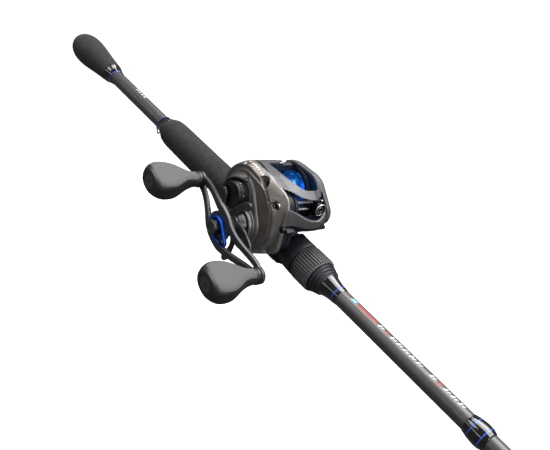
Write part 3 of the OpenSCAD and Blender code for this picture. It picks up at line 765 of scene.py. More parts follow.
def prism(points, axis, low, high):
    """A cutter: a flat outline pushed along an axis; points hold the other two coordinates in order."""
    def place(p, a):
        return {"x": (a, p[0], p[1]), "y": (p[0], a, p[1]), "z": (p[0], p[1], a)}[axis]
    verts, faces = loft([[place(p, low) for p in points], [place(p, high) for p in points]])
    return cutter(verts, faces)


def drill(c, r, y0, y1, seg=40):
    """A round cutter along Y."""
    return prism(circle(c, r, seg), "y", y0, y1)


def cover_ring(y, g):
    """Outline of the handle-side cover at station y: the plate's outline turning into the crest's."""
    t = min(1.0, max(0.0, (-y - 24.0) / 5.4)) ** 1.4
    low = g + 4.7 if y < -28 and g <= -4.7 else (g + 4.7) * 0.45
    a = outline_ring(RIGHT_LOBES, y, g)
    b = outline_ring(CREST_LOBES, y, low)
    ring = [tuple(p[k] * (1 - t) + q[k] * t for k in range(3)) for p, q in zip(a, b)]
    if y > -22.8:
        n = len(ring)
        out = []
        for j, p in enumerate(ring):
            front = max(0.0, math.cos(2 * PI * j / n - math.radians(38)))
            k = 1 - 0.085 * min(1.0, front ** 0.5 * 1.3)
            out.append((COVER_MID[0] + (p[0] - COVER_MID[0]) * k, p[1],
                        COVER_MID[1] + (p[2] - COVER_MID[1]) * k))
        ring = out
    return ring


def right_cover():
    """Handle-side cover: a domed casting with pockets for screws and a cut-back front flank."""
    plate_y0 = span("right_side_cover")[1].y
    outer = [(plate_y0, -1.2), (plate_y0 - 0.15, -0.3), (plate_y0 - 0.8, 0.0), (-22.7, 0.0), (-22.9, 0.0)]
    for k in range(1, 13):
        y = -22.9 - 6.8 * math.sin(k / 12 * PI / 2)
        outer.append((y, cover_shoulder(y)))
    outer += [(-29.85, -4.7), (-29.75, -5.2), (-29.2, -5.7), (-28.8, -6.2), (-28.75, -7.0), (-29.0, -7.5),
              (-29.4, -7.9), (-29.5, -8.5), (-29.4, -9.4), (-29.2, -10.5)]
    rings = [cover_ring(y, g) for y, g in outer]
    verts, faces = loft(rings, close_ends=False)
    n = len(rings[0])
    faces.append(tuple((len(rings) - 1) * n + j for j in range(n)))
    faces.append(tuple(range(n)))
    cover = add_mesh("side_cover_right", verts, faces, "cover", "rod",
                     stands_for=("right_side_cover",), angle=32)
    recess = [(27.2, 26.0), (33.5, 24.0), (36.5, 12.0), (34.0, -1.0), (26.0, -7.0), (22.5, -6.5), (26.2, 1.0),
              (27.6, 10.0)]
    top_pocket = [(-1.0, 36.8), (1.4, 33.6), (6.0, 31.0), (9.4, 32.0), (8.8, 35.8), (3.6, 38.8)]
    groove = [(12.0, 26.4), (20.5, 27.2), (20.5, 28.0), (12.0, 27.0)]
    rear_pocket = [(-19.5, 37.0), (-17.4, 34.6), (-15.6, 37.4), (-14.6, 41.5), (-16.6, 41.5)]
    slit = [(-7.5, 16.2), (-5.6, 21.0), (-4.6, 20.6), (-6.4, 15.8)]
    cutters = [
        prism(fillet_loop(beside(CRANK, recess), 1.2, 5), "y", -34.0, -25.2),
        prism(fillet_loop(beside(CRANK, top_pocket), 2.2, 6), "y", -40.0, -24.4),
        drill((CRANK.x + 20.8, CRANK.z + 27.4), 2.75, -40.0, -25.9),
        prism(beside(CRANK, groove), "y", -40.0, -27.9),
        prism(fillet_loop(beside(CRANK, rear_pocket), 0.7, 4), "y", -40.0, -27.0),
        drill((CRANK.x + 30.0, CRANK.z + 14.6), 2.4, -40.0, -23.4),
        prism(fillet_loop(beside(SPOOL, slit), 0.4, 3), "y", -33.0, -26.5)]
    cut(cover, cutters)
    cast_over(cover, 0.3, 4)
    cover.data.materials.append(M["frame"])
    for f in cover.data.polygons:
        mid = f.center / MM
        turn = math.degrees(math.atan2(mid.z - COVER_MID[1], mid.x - COVER_MID[0]))
        if mid.y > -22.65 and -70 < turn < 75:
            f.material_index = 1
    terrace()
    cover_details()


def terrace():
    """Raised figure-of-eight land that carries the bosses."""
    inner = [(CRANK.x, CRANK.z, 14.6), (SPOOL.x, SPOOL.z, 13.4)]
    mid = ((CRANK.x + SPOOL.x) / 2, (CRANK.z + SPOOL.z) / 2)
    rows = [(-28.6, 0.6), (-29.8, 0.2), (-30.3, -0.3), (-30.5, -1.0), (-30.5, -1.8), (-30.1, -2.5),
            (-30.1, -3.2)]
    rings = [outline_ring(inner, y, g, centre=mid) for y, g in rows]
    verts, faces = loft(rings)
    add_mesh("side_cover_land", verts, faces, "cover", "rod", angle=30)
    lathe("crank_boss", "y", CRANK, fillet([
        (-29.6, 12.6), (-30.8, 12.4), (-31.3, 11.9), (-31.5, 10.9), (-32.9, 10.5), (-33.25, 10.1),
        (-33.2, 9.75), (-31.6, 9.6), (-31.5, 4.6), (-29.6, 4.6), (-29.6, 12.6)], 0.35, 4),
        "cover", "rod", seg=128, angle=30)
    # the spool boss takes the darker copy of the cover paint: painted shade
    lathe("spool_boss", "y", SPOOL, fillet([
        (-29.6, 11.3), (-30.9, 11.1), (-31.2, 10.6), (-31.0, 7.6), (-33.9, 7.4), (-34.1, 7.0), (-34.1, 0.0)],
        0.3, 4), "cover_painted_shade", "rod", seg=96)
    cup()


def cup():
    """Wall behind the tension knob that rises towards the rear, in the darker copy of the cover paint as
    painted shade.
    """
    rings = []
    steps = 60
    for i in range(steps + 1):
        t = i / steps
        a = math.radians(72 + 190 * t)
        rise = math.sin(PI * min(1.0, max(0.0, t))) ** 0.6
        top = -30.4 - 7.0 * rise
        foot = 12.9 + 4.2 * math.sin(PI * t)
        wall = [(11.0, -29.6), (11.0, top + 0.7), (11.25, top + 0.2), (11.7, top), (12.3, top + 0.1),
                (12.75, top + 0.5), (13.1, top + 1.6), (13.6, (top - 29.6) / 2), (foot, -29.6)]
        rings.append([(SPOOL.x + r * math.cos(a), y, SPOOL.z + r * math.sin(a)) for r, y in wall])
    verts, faces = loft(rings)
    add_mesh("tension_cup", verts, faces, "cover_painted_shade", "rod", angle=45)


def screw_head(name, c, y, r, depth, body="rod"):
    """A domed screw head facing -Y with a cross recess cut in."""
    head = lathe(name, "y", (c[0], 0, c[1]), fillet([
        (y + depth, r * 0.98), (y + 0.5, r), (y + 0.12, r * 0.86), (y, r * 0.6), (y, 0.0)], 0.4, 4),
        "screw", body, seg=48)
    arms = []
    for w, h, floor in ((r * 0.62, r * 0.13, 0.55), (r * 0.13, r * 0.62, 0.56)):
        corners = [(c[0] - w, c[1] - h), (c[0] + w, c[1] - h), (c[0] + w, c[1] + h), (c[0] - w, c[1] + h)]
        arms.append(prism(corners, "y", y - 1, y + floor))
    cut(head, arms)
    smooth_by_angle(head, 35)
    return head


def cover_details():
    """Screws, pivot ring, corner tab and marks of the handle-side cover."""
    cx, cz = CRANK.x, CRANK.z
    first = screw_head("cover_screw_top", (cx + 5.4, cz + 34.6), -26.0, 2.0, 2.2)
    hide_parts("cover_screws")
    screw_head("cover_screw_pivot", (cx + 21.6, cz + 27.2), -28.0, 1.9, 2.2)
    lathe("cover_pivot_ring", "y", Vector((cx + 21.6, 0, cz + 27.2)), fillet([
        (-26.0, 2.6), (-28.1, 2.6), (-28.4, 2.35), (-28.1, 2.1), (-26.0, 2.1), (-26.0, 2.6)], 0.15, 3),
        "bright_screw", "rod", seg=64, slot="screw_black")
    screw_head("cover_screw_low", (cx + 30.0, cz + 14.6), -25.4, 1.9, 2.2)
    corner = fillet_loop(beside(CRANK, [(22.0, 12.0), (30.6, 16.4), (33.9, 14.2), (31.0, 10.6), (24.0, 7.0)]),
                         1.0, 5)
    plate_y("cover_corner_tab", corner, -22.6, -15.4, "frame", "rod", round_edge=0.6)
    cover_marks()


def cover_marks():
    """Plain pale and orange dashes along the shoulder, where the cover carries print."""
    count = 9
    n = 160
    for i in range(count):
        j = round(n * (124 - 4.0 * i) / 360)
        y = -25.2 - 0.27 * i
        rows = []
        for dy in (-0.7, 0.0, 0.7):
            ring = cover_ring(y + dy, cover_shoulder(y + dy) + 0.12)
            a, b, c = Vector(ring[j - 1]), Vector(ring[j]), Vector(ring[j + 1])
            rows += [tuple(b.lerp(a, 0.62)), tuple(b), tuple(b.lerp(c, 0.62))]
        faces = [(0, 1, 4, 3), (1, 2, 5, 4), (3, 4, 7, 6), (4, 5, 8, 7)]
        key = "orange_mark" if i in (1, 6) else "white_mark"
        add_mesh(f"cover_mark_{i + 1}", rows, faces, key, "rod", slot="cover_grey")


def cover_shoulder(y):
    """How far the cover's shoulder has drawn in at station y."""
    t = min(1.0, max(0.0, (-21.6 - y) / 8.2))
    return -4.2 * (1 - math.sqrt(1 - t * t))


def band_ring(y, grow=0.0, n=160):
    """Hood outline at station y: the hood's own in the middle, the palm side's beyond it."""
    t = min(1.0, max(0.0, (y - 3.0) / 12.0))
    t = t * t * (3 - 2 * t)
    side = min(1.0, max(0.0, (-8.0 - y) / 12.0))
    side = side * side * (3 - 2 * side)
    front = outline_ring(HOOD_LOBES, y, grow, n)
    near = outline_ring(RIGHT_LOBES, y, grow, n)
    a = [tuple(p[k] * (1 - side) + q[k] * side for k in range(3)) for p, q in zip(front, near)]
    b = outline_ring(LEFT_LOBES, y, grow, n)
    return [tuple(p[k] * (1 - t) + q[k] * t for k in range(3)) for p, q in zip(a, b)]


def cast_over(obj, voxel, rounds):
    """Remeshes evenly and relaxes a little, so cut edges come out rounded as on a casting."""
    m = obj.modifiers.new("even", "REMESH")
    m.mode = "VOXEL"
    m.voxel_size = voxel * MM
    m.use_smooth_shade = True
    r = obj.modifiers.new("relax", "SMOOTH")
    r.factor = 0.5
    r.iterations = rounds
    bpy.context.view_layer.update()
    bake_modifiers(obj)
    return obj


def slanted(ring, y):
    """Pulls the hood's handle-side edge in towards the rear, where the cover shows more of itself."""
    if y > -14:
        return ring
    amount = (-14 - y) / 9.6
    out = []
    for p in ring:
        t = min(1.0, max(0.0, (SPOOL.x + 20.0 - p[0]) / 26.0))
        out.append((p[0], p[1] + 4.6 * amount * t * t * (3 - 2 * t), p[2]))
    return out


def hood():
    """Top and front hood: a crowned shell with the spool opening and the line window cut out."""
    crown = [(-24.4, -0.6), (-24.0, 0.0), (-22.5, 0.25), (-18.0, 0.2), (-12.0, 0.1), (-6.0, 0.05), (0.0, 0.0),
             (8.0, -0.2), (13.0, -0.2), (16.0, 0.0), (17.6, -0.3), (18.4, -0.7)]
    outer = [slanted(band_ring(y, g), y) for y, g in crown]
    inner = [slanted(band_ring(y, g - 2.1), y) for y, g in reversed(crown)]
    verts, faces = loft(outer + inner + [outer[0]], close_ends=False)
    shell = add_mesh("hood_shell", verts, faces, "hood", "rod", stands_for=("front_cover",),
                     angle=40)
    far = 80.0
    behind = [(-far, -far), (60.0, -far), (60.0, 1.9), (36.0, 0.9), (25.0, -1.4), (0.0, 0.0), (-12.5, 17.5),
              (-16.0, 30.0), (-far, 40)]
    rear = prism(beside(SPOOL, behind), "y", -30.0, 30.0)
    mouth = [(-30.0, 3.0), (-3.0, -1.0), (-2.8, -13.9), (9.0, -14.3), (19.0, -14.0), (27.0, -12.0),
             (31.0, -8.0), (32.3, -2.8), (31.4, 3.4), (28.0, 8.6), (20.0, 12.0), (10.0, 13.0),
             (-4.0, 12.6), (-30.0, 11.5)]
    top = fillet_loop([(SPOOL.x + x, y) for x, y in mouth], 4.0, 7)
    sill = [(-26.0, 37.7), (-23.7, 37.3), (-16.0, 36.3), (-12.4, 34.8), (-5.0, 33.8), (2.9, 33.4),
            (8.2, 33.3), (8.6, 29.5), (6.8, 26.8), (2.5, 24.4), (-2.1, 23.3), (-7.0, 23.7),
            (-11.0, 24.7), (-16.0, 26.5),
            (-20.5, 27.9), (-26.0, 29.5)]
    window = fillet_loop([(y, CRANK.z + z) for y, z in sill], 1.4, 5)
    low, high = span("line_guide")
    room = [(low.x - 0.6, low.z - 0.6), (high.x + 0.7, low.z - 0.6), (high.x + 0.7, high.z + 0.7),
            (low.x - 0.6, high.z + 0.7)]
    cut(shell, [rear, prism(top, "z", SPOOL.z + 6, SPOOL.z + 60),
                prism(window, "x", SPOOL.x + 26, SPOOL.x + 90),
                prism(room, "y", low.y - 10.7, high.y + 6.8)])
    cast_over(shell, 0.28, 16)
    return shell


def palm_cover():
    """Palm side: a dome that closes quickly beyond the left plate."""
    rows = [(18.5, -1.0), (18.7, -0.6), (19.6, -1.4), (21.0, -3.0), (22.6, -4.7), (24.6, -6.6), (26.6, -8.4),
            (28.4, -10.0), (29.8, -11.3), (30.7, -12.5), (31.0, -13.6)]
    rings = [outline_ring(LEFT_LOBES, y, g) for y, g in rows]
    verts, faces = loft(rings)
    cover = add_mesh("side_cover_left", verts, faces, "cover", "rod",
                     stands_for=("left_side_cover",), angle=35)
    recess = drill((SPOOL.x, SPOOL.z), 10.6, 30.4, 40.0, 96)
    cut(cover, [recess])
    cast_over(cover, 0.4, 8)
    knurl = []
    seg = 24 * 8
    rows = [(30.5, 9.4, 0), (31.3, 10.0, 0.1), (31.7, 10.0, 0.6), (33.2, 9.9, 0.6), (33.7, 9.6, 0.3),
            (34.0, 9.1, 0.0), (34.0, 7.6, 0.0), (33.4, 7.2, 0.0), (33.3, 0.02, 0.0)]
    for y, r, depth in rows:
        knurl.append([around("y", SPOOL, r - depth * (0.5 + 0.5 * math.cos(24 * 2 * PI * j / seg)) ** 2, y,
                             2 * PI * j / seg) for j in range(seg)])
    verts, faces = loft(knurl)
    add_mesh("brake_dial_knurled", verts, faces, "gloss", "brake",
             stands_for=("brake_dial",), angle=40)
    for k in range(8):
        a = math.radians(20 + 30 * k)
        pts = [(SPOOL.x + r * math.cos(a + s), SPOOL.z + r * math.sin(a + s))
               for r, s in ((5.2, -0.05), (6.6, -0.045), (6.6, 0.045), (5.2, 0.05))]
        plate_y(f"brake_dial_mark_{k + 1}", pts, 33.28, 33.36, "white_mark", "brake", round_edge=0,
                slot="frame_black")


def reel_frame_pieces():
    """Left and right plates, cross bars, bridge and foot."""
    def plate(name, lobes, y0, y1, grow, holes, material="frame"):
        ring = [(p[0], p[2]) for p in outline_ring(lobes, 0, grow, 120)]
        discs = [circle(c, r, 64) for c, r in holes]
        return plate_y(name, ring, y0, y1, material, "rod", holes=discs, round_edge=0.3, slot="frame_black")

    right = plate("frame_plate_right", RIGHT_LOBES, -15.9, -13.2, -2.4,
                  [((SPOOL.x, SPOOL.z), 4.0), ((CRANK.x, CRANK.z), 3.0), ((WORM.x, WORM.z), 2.5)])
    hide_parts("reel_frame")
    plate("frame_plate_left", LEFT_LOBES, 16.2, 18.5, -2.4,
          [((SPOOL.x, SPOOL.z), 16.0), ((WORM.x, WORM.z), 2.5)])
    lathe("spool_port_ring", "y", SPOOL, fillet([
        (16.6, 15.95), (15.2, 16.1), (14.6, 16.9), (14.7, 18.6), (15.6, 19.6), (17.0, 19.8), (17.0, 15.95),
        (16.6, 15.95)], 0.6, 5), "crank", "rod", seg=128, slot="frame_black", angle=50)
    box_bar("frame_bridge", (322, -13.2, 7.25), (352, 16.2, 9.4), "frame")
    box_bar("frame_foot", (312, -6, 7.25), (378, 6, 9.35), "steel", 0.7)
    box_bar("frame_rear_bar", (315.6, -13.2, 19), (318.9, 16.2, 26.0), "frame", 1.0)
    box_bar("frame_front_wall", (356.0, -13.2, 9.0), (359.5, 16.2, 20.5), "frame", 0.8)
    box_bar("frame_front_bar", (362, -13.2, 19.2), (377, 16.2, 21.9), "frame", 0.8)
    box_bar("frame_top_bar", (SPOOL.x - 9.4, -13.2, SPOOL.z + 14.0),
            (SPOOL.x - 4.4, 16.2, SPOOL.z + 19.4), "frame", 1.5)
    hinge = (SPOOL.x - 5.0, SPOOL.z + 20.2)
    tube("hood_hinge_pin", [(hinge[0], y, hinge[1]) for y in (-1.0, 3.0)], 0.8, "bright_screw", "rod", seg=24)
    tube("level_wind_rail", [(RAIL.x, -15.5, RAIL.z), (RAIL.x, 9.2, RAIL.z)], 0.9, "steel", "rod", seg=32,
         stands_for=("level_wind_rod",))
    tube("level_wind_guard", [(RAIL.x - 1.0, -15.5, RAIL.z - 6.2), (RAIL.x - 1.0, 12.0, RAIL.z - 6.2)], 0.6,
         "steel", "rod", seg=24)
    front_chin()


def box_bar(name, low, high, material, round_edge=0.5):
    pts = fillet_loop([(low[0], low[2]), (high[0], low[2]), (high[0], high[2]), (low[0], high[2])],
                      round_edge, 4)
    return plate_y(name, pts, low[1], high[1], material, "rod", round_edge=0.25, slot="frame_black")


def front_chin():
    """Dark lower front of the frame: the bar under the line window, swept from side to side."""
    rings = []
    for i in range(41):
        t = i / 40
        y = -15.6 + 31.6 * t
        pull = 7.5 * (2 * abs(t - 0.46)) ** 3 + 8.0 * max(0.0, t - 0.7)
        nose = [(369.0 - pull * 0.2, 19.6), (376.5 - pull * 0.5, 20.3), (381.0 - pull, 22.2),
                (383.2 - pull, 25.2), (383.4 - pull, 27.8), (382.0 - pull, 29.6), (380.6 - pull, 29.2),
                (380.0 - pull, 26.0), (377.5 - pull, 23.4), (369.0 - pull * 0.2, 22.2)]
        rings.append([(x, y, z) for x, z in fillet_loop(nose, 0.9, 3)])
    verts, faces = loft(rings)
    add_mesh("frame_chin", verts, faces, "frame", "rod", angle=50)


# ---- reel, moving parts ----

def arm_point(u, v, y):
    """A point given along the handle, across it and along Y."""
    c, s = math.cos(ARM_ANGLE), math.sin(ARM_ANGLE)
    return Vector((CRANK.x + u * c - v * s, y, CRANK.z + u * s + v * c))


def arm_face(u):
    """Y of the arm's outer face: flat over the hub, then dropping towards the pads."""
    t = min(1.0, max(0.0, (abs(u) - 8.0) / 28.0))
    return -51.2 + 7.8 * (t * t * (3 - 2 * t) * 0.45 + t * 0.55)


def arm_beam(name, points, turn):
    """One swept side of the handle, from pad to pad; turn is 1 or -1."""
    path = curve_points([(u, v, 0) for u, v in points], 6)
    rings = []
    for i, p in enumerate(path):
        a = path[max(0, i - 1)]
        b = path[min(len(path) - 1, i + 1)]
        du, dv = b.x - a.x, b.y - a.y
        size = math.hypot(du, dv)
        nu, nv = -dv / size, du / size
        reach = abs(p.x)
        half = 2.2 + 0.6 * math.exp(-(reach / 16.0) ** 2)
        thick = 3.0
        y = arm_face(p.x)
        section = fillet_loop([(-half, 0.0), (half, 0.0), (half * 1.05, thick), (-half * 1.05, thick)], 0.9, 4)
        rings.append([arm_point(turn * (p.x + nu * w), turn * (p.y + nv * w), y + d) for w, d in section])
    verts, faces = loft(rings)
    return add_mesh(name, verts, faces, "crank", "crank", angle=50)


def crank_arm():
    """Two swept sides, the hub between them and a pad with a rivet at each knob."""
    side = [(42.5, -2.2), (36.0, -3.9), (28.7, -6.0), (21.0, -8.3), (14.1, -9.9), (8.0, -10.7), (2.5, -10.6),
            (-3.0, -9.7), (-7.0, -8.3), (-10.5, -6.9), (-16.0, -5.1), (-23.0, -3.9), (-29.3, -3.5),
            (-35.3, -3.1), (-42.5, -2.4)]
    first = arm_beam("crank_arm_side_a", side, 1)
    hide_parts("crank_arm")
    arm_beam("crank_arm_side_b", side, -1)
    hub = []
    for i in range(96):
        t = 2 * PI * i / 96
        high = 9.6 if math.cos(t) * math.sin(t) < 0 else 9.4
        hub.append(arm_point(10.6 * math.cos(t), high * math.sin(t), 0))
    plate_y("crank_arm_hub", [(p.x, p.z) for p in hub], -51.15, -48.1, "crank", "crank", round_edge=0.5,
            holes=[circle((CRANK.x, CRANK.z), 3.2, 32)])
    for k, knob in enumerate(KNOBS):
        lathe(f"crank_arm_pad_{k + 1}", "y", knob, fillet([
            (-40.2, 0.0), (-40.2, 4.6), (-41.0, 5.6), (-43.0, 5.7), (-43.5, 5.2), (-43.5, 0.0)], 0.6, 4),
            "crank", "crank", seg=64)
        lathe(f"crank_arm_rivet_{k + 1}", "y", knob, fillet([
            (-40.4, 0.0), (-40.4, 2.6), (-39.7, 2.3), (-39.5, 1.5), (-39.5, 0.0)], 0.3, 3),
            "bright_screw", "crank", seg=40)
    handle_nut_and_retainer()


def handle_nut_and_retainer():
    """Hexagonal nut inside a blue teardrop retainer with its screw."""
    r = 5.6
    hexa = []
    for k in range(6):
        t = ARM_ANGLE + PI / 6 + k * PI / 3
        hexa.append((CRANK.x + r * math.cos(t), CRANK.z + r * math.sin(t)))
    nut = plate_y("handle_nut_hex", fillet_loop(hexa, 0.5, 3), -56.2, -51.2, "gloss", "crank", round_edge=0.4,
                  slot="crank_grey")
    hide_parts("handle_nut")
    lathe("handle_nut_face", "y", CRANK, fillet([
        (-56.0, 4.9), (-56.7, 4.6), (-57.0, 4.1), (-56.95, 3.2), (-56.6, 2.9), (-56.6, 0.0)], 0.25, 4),
        "crank", "crank", seg=64)
    screw_angle = math.radians(-25)
    far = (CRANK.x + 12.2 * math.cos(screw_angle), CRANK.z + 12.2 * math.sin(screw_angle))

    def teardrop(grow):
        lobes = [(CRANK.x, CRANK.z, 7.5 + grow), (far[0], far[1], 3.2 + grow)]
        mid = (CRANK.x + 4, CRANK.z - 1.9)
        return [(p[0], p[2]) for p in outline_ring(lobes, 0, 0, 120, centre=mid)]

    plate_y("nut_retainer_rim", teardrop(0.1), -53.7, -51.3, "blue", "crank", round_edge=0.45,
                  holes=[teardrop(-1.75)], stands_for=("nut_retainer",))
    plate_y("nut_retainer_floor", teardrop(-1.4), -52.4, -51.25, "gloss", "crank", round_edge=0.2,
            slot="crank_grey")
    head = screw_head("retainer_screw_head", far, -54.7, 2.05, 3.0, "crank")
    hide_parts("retainer_screw")
    tab = [arm_point(u, v, 0) for u, v in ((-1.4, 4.6), (1.4, 4.6), (1.2, 7.0), (-1.2, 7.0))]
    plate_y("handle_nut_tab", [(p.x, p.z) for p in tab], -55.6, -53.9, "crank", "crank", round_edge=0.35)


def star_drag():
    """Five swept arms with rounded tips round a tall glossy hub."""
    lo, hi = span("star_drag")
    tip = (hi.x - lo.x) / 2
    first = None
    for k in range(5):
        a = math.radians(63 + 72 * k)
        path = []
        for i in range(15):
            t = i / 14
            r = 6.5 + (tip - 2.6 - 6.5) * t
            bend = a + math.radians(42) * (1 - t) ** 1.25
            path.append((CRANK.x + r * math.cos(bend), CRANK.z + r * math.sin(bend), t))
        rings = []
        for i, (x, z, t) in enumerate(path):
            xa, za, _ = path[max(0, i - 1)]
            xb, zb, _ = path[min(14, i + 1)]
            size = math.hypot(xb - xa, zb - za)
            nx, nz = -(zb - za) / size, (xb - xa) / size
            half = 2.9 - 0.95 * math.sin(PI * min(1.0, t * 1.15)) + 0.1 * t
            if t > 0.93:
                half *= 0.8
            corners = [(-half, -41.35), (half, -41.35), (half * 1.08, -39.35), (-half * 1.08, -39.35)]
            section = fillet_loop(corners, 0.8, 4)
            lift = 0.35 * math.sin(PI * t)
            rings.append([(x + nx * w, y + (lift if y < -40 else 0), z + nz * w) for w, y in section])
        x, z, _ = path[-1]
        xa, za, _ = path[-2]
        size = math.hypot(x - xa, z - za)
        dx, dz = (x - xa) / size, (z - za) / size
        end = rings[-1]
        mid = [sum(c) / len(end) for c in zip(*end)]
        for push, shrink in ((0.9, 0.86), (1.7, 0.6), (2.15, 0.25)):
            rings.append([(mid[0] + (p[0] - mid[0]) * shrink + dx * push,
                           mid[1] + (p[1] - mid[1]) * (0.6 + 0.4 * shrink),
                           mid[2] + (p[2] - mid[2]) * shrink + dz * push) for p in end])
        verts, faces = loft(rings)
        arm = add_mesh(f"star_arm_{k + 1}", verts, faces, "crank", "star", angle=50)
        first = first or arm
    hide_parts("star_drag")
    lathe("star_hub_cone", "y", CRANK, fillet([
        (-41.5, 4.15), (-41.5, 6.6), (-41.0, 7.6), (-39.2, 7.9), (-38.2, 7.6), (-36.2, 8.6), (-34.4, 9.35),
        (-33.7, 9.2), (-33.7, 4.15), (-41.5, 4.15)], 0.5, 4), "gloss", "star", seg=128,
        angle=45)
    lathe("star_hub_ring", "y", CRANK, fillet([
        (-41.3, 6.7), (-41.75, 6.4), (-41.75, 5.2), (-41.3, 5.0)], 0.2, 3), "crank", "star", seg=96)


def tension_knob():
    """Round knob with six grip ridges and a dished face."""
    lathe("tension_knob_body", "y", SPOOL, fillet([
        (-30.7, 6.0), (-30.7, 9.2), (-31.2, 9.55), (-36.4, 9.55), (-36.8, 9.1), (-37.2, 8.8), (-37.6, 9.1),
        (-37.9, 9.4), (-38.5, 9.4), (-39.0, 8.9), (-39.0, 8.2), (-38.6, 7.6), (-38.1, 5.0), (-38.0, 0.0)],
        0.35, 4), "gloss", "tension", seg=128, stands_for=("tension_knob",), angle=40)
    for k in range(6):
        a = math.radians(20 + 60 * k)
        rings = []
        for y, r, h in ((-33.4, 9.45, 0.05), (-33.9, 9.9, 0.1), (-35.8, 9.9, 0.1), (-36.5, 9.45, 0.07)):
            rings.append([(SPOOL.x + q * math.cos(a + s), y, SPOOL.z + q * math.sin(a + s))
                          for q, s in ((9.2, -h - 0.05), (r, -h), (r, 0.0), (r, h), (9.2, h + 0.05))])
        verts, faces = loft(rings)
        tab = add_mesh(f"tension_knob_grip_{k + 1}", verts, faces, "gloss", "tension",
                       angle=60)
        bevel(tab, 0.25, 2, 40)


def knob(index, body):
    """Paddle knob: broad soft faces, sides and ends in a darker copy of the face material as painted shade, a
    waist near the arm and a round cap.
    """
    centre = KNOBS[index]
    top = span(f"knob_{index + 1}")[1].y
    rows = [(0.0, 4.6), (-0.25, 5.15), (-1.2, 5.45), (-3.2, 5.45), (-3.9, 5.2), (-4.6, 5.35), (-7.0, 5.5),
            (-10.0, 6.0), (-13.5, 7.1), (-17.0, 8.9), (-20.5, 10.9), (-24.0, 12.5), (-27.5, 13.15),
            (-31.0, 13.2), (-34.0, 12.7), (-36.9, 11.6), (-38.4, 10.3), (-39.1, 9.1), (-39.4, 8.2)]
    c, s = math.cos(ARM_ANGLE), math.sin(ARM_ANGLE)
    seg = 96
    rings = []
    for p, wide in rows:
        broad = min(1.0, max(0.0, (-p - 7.0) / 12.0))
        end = max(0.0, (-p - 33.0) / 6.4)
        thick = min(wide, 5.3 + 2.7 * broad ** 0.8 - 1.2 * end ** 2)
        power = 2.0 + 1.7 * broad * min(1.0, max(0.0, (40.4 + p) / 7.0))
        ring = []
        for j in range(seg):
            t = 2 * PI * j / seg
            e = 2.0 / power
            a = math.copysign(abs(math.cos(t)) ** e, math.cos(t)) * wide
            b = math.copysign(abs(math.sin(t)) ** e, math.sin(t)) * thick
            ring.append((centre.x + a * c - b * s, top + p, centre.z + a * s + b * c))
        rings.append(ring)
    verts, faces = loft(rings)
    obj = add_mesh(f"knob_{index + 1}_grip", verts, faces, "knob", body,
                   stands_for=(f"knob_{index + 1}",), angle=60)
    # faces that point along the paddle, the waist and the end take the darker copy of the knob material:
    # painted shade
    obj.data.materials.append(M["knob_side_painted_shade"])
    for f in obj.data.polygons:
        p = f.center.y / MM - top
        faces_out = abs(-f.normal.x * s + f.normal.z * c)
        if faces_out < 0.72 or not -37.6 < p < -4.2:
            f.material_index = 1
    subdivide(obj, 1)
    cap = span(f"knob_{index + 1}_cap")[0].y
    lathe(f"knob_{index + 1}_cap_disc", "y", centre, fillet([
        (cap + 3.0, 6.1), (cap + 1.1, 6.15), (cap + 0.4, 5.9), (cap + 0.05, 5.2), (cap, 3.5), (cap, 0.85),
        (cap + 0.9, 0.75), (cap + 0.9, 0.0)], 0.5, 4), "cap", body, seg=72,
        stands_for=(f"knob_{index + 1}_cap",))
    lathe(f"knob_{index + 1}_collar", "y", centre, fillet([
        (top - 0.1, 4.9), (top - 0.1, 5.5), (top - 0.6, 5.75), (top - 1.9, 5.75), (top - 2.4, 5.5),
        (top - 2.4, 5.0)], 0.3, 3), "gloss", body, seg=72, slot="knob_grey")


def spool_pieces():
    """Turned spool: two dished flanges and an arbor with grooves."""
    lo, hi = span("spool")
    near, far = lo.y, hi.y
    rim = (hi.x - lo.x) / 2
    lathe("spool_turned", "y", SPOOL, fillet([
        (near, rim - 0.5), (near + 0.25, rim), (near + 0.9, rim), (near + 1.1, rim - 0.5), (near + 1.7, 12.6),
        (near + 3.2, 10.2), (near + 5.0, 9.5), (near + 9.0, 9.2), (1.5, 9.05), (far - 9.0, 9.2),
        (far - 5.0, 9.5), (far - 3.2, 10.2), (far - 1.7, 12.6), (far - 1.1, rim - 0.5), (far - 0.9, rim),
        (far - 0.25, rim), (far, rim - 0.5), (far - 0.4, 13.2), (far - 1.9, 9.4), (far - 3.0, 4.4),
        (far - 3.0, 2.2), (near + 3.0, 2.2), (near + 3.0, 4.4), (near + 1.9, 9.4), (near + 0.4, 13.2),
        (near, rim - 0.5)], 0.5, 4), "spool", "spool_unit", seg=160,
        stands_for=("spool",), angle=30)
    for k, y in enumerate((-4.2, -1.3, 1.6, 4.5, 7.4)):
        lathe(f"spool_land_{k + 1}", "y", SPOOL, fillet([
            (y - 0.7, 9.0), (y - 0.7, 9.42), (y + 0.7, 9.42), (y + 0.7, 9.0), (y - 0.7, 9.0)], 0.15, 3),
            "spool", "spool_unit", seg=128)


